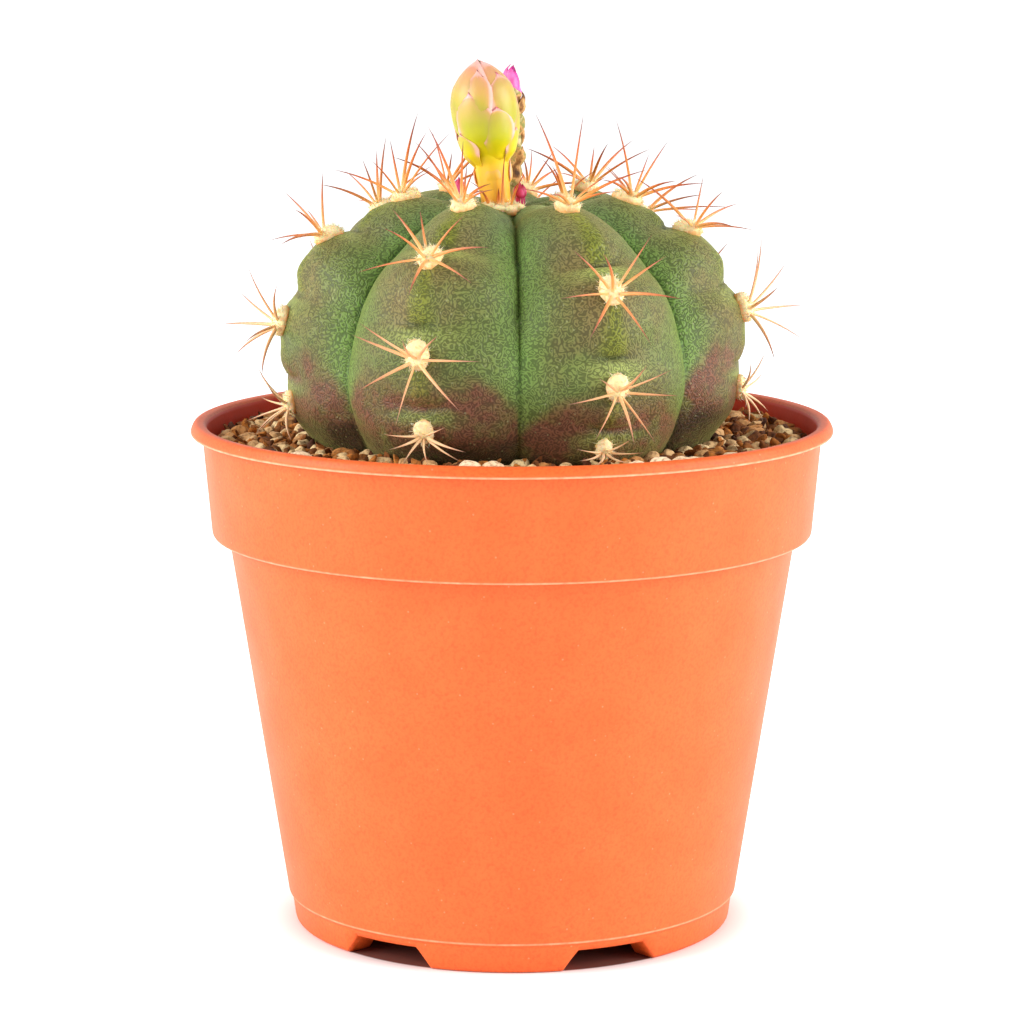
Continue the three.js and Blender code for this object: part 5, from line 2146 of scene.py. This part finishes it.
    def recipe(self) -> Tree:
        """The tree that strews lumpy grains over a ring, each turned, sized and shaded on its own.

        Returns:
            The tree, whose Shape input is a grain's size along its three axes.
        """
        tree, given = new_tree(
            "strewn_grains",
            Spacing="Float", Radius="Float", Shape="Vector", Facets="Int", Lumps="Float", Tilt="Float",
            Seed="Int", Material="Material",
        )
        strewing = {"Mesh": given["Geometry"], "Distance Min": given["Spacing"], "Seed": given["Seed"]}
        strewing["Density Max"] = self.densest
        spread = add(
            tree, "GeometryNodeDistributePointsOnFaces", strewing, distribute_method="POISSON"
        ).outputs[0]
        marked = stored(tree, spread, "shade", drawn(tree, 0.0, 1.0, self.shade_seed), "POINT")
        sphere = {"Radius": given["Radius"], "Subdivisions": given["Facets"]}
        grain = add(tree, "GeometryNodeMeshIcoSphere", sphere).outputs[0]
        tilt = given["Tilt"]
        back = maths(tree, "MULTIPLY", tilt, -1.0)
        least = add(tree, "ShaderNodeCombineXYZ", {0: back, 1: back, 2: 0.0}).outputs[0]
        most = add(tree, "ShaderNodeCombineXYZ", {0: tilt, 1: tilt, 2: self.full_turn}).outputs[0]
        turn = drawn(tree, least, most, self.turn_seed, "FLOAT_VECTOR")
        turned = add(tree, "FunctionNodeEulerToRotation", {0: turn}).outputs[0]
        smallest, largest = self.grain_sizes
        size = drawn(tree, (smallest,) * 3, (largest,) * 3, self.size_seed, "FLOAT_VECTOR")
        scale = add(
            tree, "ShaderNodeVectorMath", {0: size, 1: given["Shape"]}, operation="MULTIPLY"
        ).outputs[0]
        grains = copies(tree, marked, grain, turned, scale)
        real = add(tree, "GeometryNodeRealizeInstances", {0: grains}).outputs[0]
        waves = {"Scale": MM_PER_METRE / self.lump_size, "Detail": 1}
        wave = add(tree, "ShaderNodeTexNoise", waves).outputs["Color"]
        centred = add(
            tree, "ShaderNodeVectorMath", {0: wave, 1: (0.5, 0.5, 0.5)}, operation="SUBTRACT"
        ).outputs[0]
        shift = add(
            tree, "ShaderNodeVectorMath", {0: centred, "Scale": given["Lumps"]}, operation="SCALE"
        ).outputs[0]
        lumpy = add(tree, "GeometryNodeSetPosition", {"Geometry": real, "Offset": shift}).outputs[0]
        end_tree(tree, lumpy, given["Material"])
        return tree

    def strew(
        self,
        name: str,
        tree: Tree,
        finish: Finish,
        ring: Point,
        **values: object,
    ) -> None:
        """Strews one kind of grain over a ring as one piece.

        Args:
            name: the piece's name.
            tree: the strewing tree.
            finish: the grains' finish.
            ring: the ring's distance from the plant, from the wall, and its height.
            values: the tree's other inputs, with lengths in millimetres.
        """
        material = finish.material()
        host = bare_host(name, *self.ring(*ring))
        lengths = {key: values[key] * MM for key in ("Spacing", "Radius", "Lumps")}
        settle(grown(host, tree, {**values, **lengths, "Material": material}), Slot.GRIT)

    def make_front_grains(self) -> None:
        """Sets the pale grains that show above the front of the rim."""
        sphere, faces = ball()
        grains = []
        for azimuth, radius, height, size in self.front_grains:
            lumps = 1 + 0.16 * ripple(sphere * 1.7 + azimuth, 1)
            centre = heading(azimuth) * radius + np.array([0, 0, height])
            points = centre + sphere * lumps[:, None] * size * np.array(self.front_shape)
            grains.append((points, faces, {"shade": np.full(len(points), (azimuth * 0.37) % 0.3)}))
        points, faces, masks = joined(grains)
        piece = mesh_piece("front_grains", points, faces, self.pale.material(), masks)
        settle(piece, Slot.GRIT)

    def build(self) -> None:
        """Makes the bed and strews the grains."""
        self.make_bed()
        self.make_front_grains()
        tree = self.recipe()
        self.strew(
            "pumice_grains", tree, self.pumice, (1.8, 2.6, 91.4), Spacing=4.4, Radius=2.0,
            Shape=(1.05, 0.86, 0.78), Facets=3, Lumps=1.7, Tilt=0.8, Seed=self.grain_seed,
        )
        self.strew(
            "bark_chips", tree, self.bark, (1.4, 2.4, 91.8), Spacing=2.7, Radius=1.9,
            Shape=(1.2, 0.55, 0.3), Facets=2, Lumps=2.4, Tilt=1.0, Seed=self.grain_seed + 4,
        )
        self.strew(
            "grit_crumbs", tree, self.bark, (0.8, 1.4, 91.0), Spacing=1.5, Radius=0.8,
            Shape=(1.0, 0.8, 0.6), Facets=1, Lumps=0.6, Tilt=1.2, Seed=self.grain_seed + 9,
        )


# The studio


@dataclass
class Studio:
    """The white studio: a seamless floor, soft light all round, and the photograph's camera."""

    camera_place: Point = (0.15, -657.4, 188.9)
    target: Point = (0.0, 0.0, 77.5)
    lens: float = 124.5
    sensor: float = 36
    nearest: float = 10
    floor_half: float = 6000
    sky: str = "#ffffff"
    sky_strength: float = 1.1
    sky_top: float = 0.5
    sky_front: float = 0.43
    # Where the tent dims: between these heights and these depths of a direction.
    top_fade: Pair = (0.3, 0.7)
    front_fade: Pair = (-0.9, 0.2)
    light_target: Point = (0, 0, 90)
    softboxes: tuple[tuple[str, Point, float, float], ...] = (
        ("left softbox", (-1180, -380, 600), 900, 19.5),
        ("right softbox", (1180, -330, 520), 900, 19),
    )

    def make_camera(self) -> None:
        """Stands the camera where the photograph was taken from."""
        data = bpy.data.cameras.new("photo camera")
        data.lens = self.lens
        data.sensor_width = self.sensor
        data.clip_start = self.nearest * MM
        bpy.context.scene.camera = aimed("photo camera", data, self.camera_place, self.target)

    def make_floor(self) -> None:
        """Lays the floor."""
        half = self.floor_half
        corners = [(-half, -half, 0), (half, -half, 0), (half, half, 0), (-half, half, 0)]
        points = np.array(corners, dtype=float)
        floor = mesh_piece("studio_floor", points, [(0, 1, 2, 3)], StudioFloor("white acrylic").material())
        floor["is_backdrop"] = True

    def make_light(self, name: str, place: Point, size: float, watts: float) -> None:
        """Hangs one soft square light that faces the plant.

        Args:
            name: its name.
            place: where it hangs.
            size: how wide it is.
            watts: its power.
        """
        data = bpy.data.lights.new(name, "AREA")
        data.shape = "SQUARE"
        data.size = size * MM
        data.energy = watts
        aimed(name, data, place, self.light_target)

    def make_tent(self) -> None:
        """Hangs a white tent all round: bright behind and at the sides, dimmer overhead and at the front."""
        world = bpy.data.worlds.new("light tent")
        world.use_nodes = True
        tree = world.node_tree
        box = PaintBox(tree, tree.nodes["Background"])
        towards = add(tree, "ShaderNodeTexCoord").outputs["Generated"]
        _, depth, height = add(tree, "ShaderNodeSeparateXYZ", {0: towards}).outputs
        top = box.ranged(height, *self.top_fade, 1.0, self.sky_top)
        front = box.ranged(depth, *self.front_fade, self.sky_front)
        glow = box.maths("MULTIPLY", box.maths("MULTIPLY", top, front), self.sky_strength)
        box.give(Color=linear(self.sky), Strength=glow)
        bpy.context.scene.world = world

    def build(self) -> None:
        """Sets up the camera, the floor, the tent and the softboxes."""
        self.make_camera()
        self.make_floor()
        self.make_tent()
        bpy.context.scene.view_settings.view_transform = "Standard"
        for name, place, size, watts in self.softboxes:
            self.make_light(name, place, size, watts)


def main() -> None:
    """Builds the studio and the plant."""
    logging.basicConfig(level=logging.INFO, format="%(message)s")
    Studio().build()
    pot, globe = Pot(), Globe()
    pot.build()
    globe.build()
    Grit(pot, globe).build()
    Areoles(globe).build()
    FlowerBud().build()
    WitheredFlower().build()
    YoungBuds().build()
    boxes = {"cad": cad_box, "visual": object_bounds()}
    plain = {name: [[float(v) for v in corner] for corner in box] for name, box in boxes.items()}
    log.info("sizes: %s", plain)


if __name__ == "__main__":
    main()
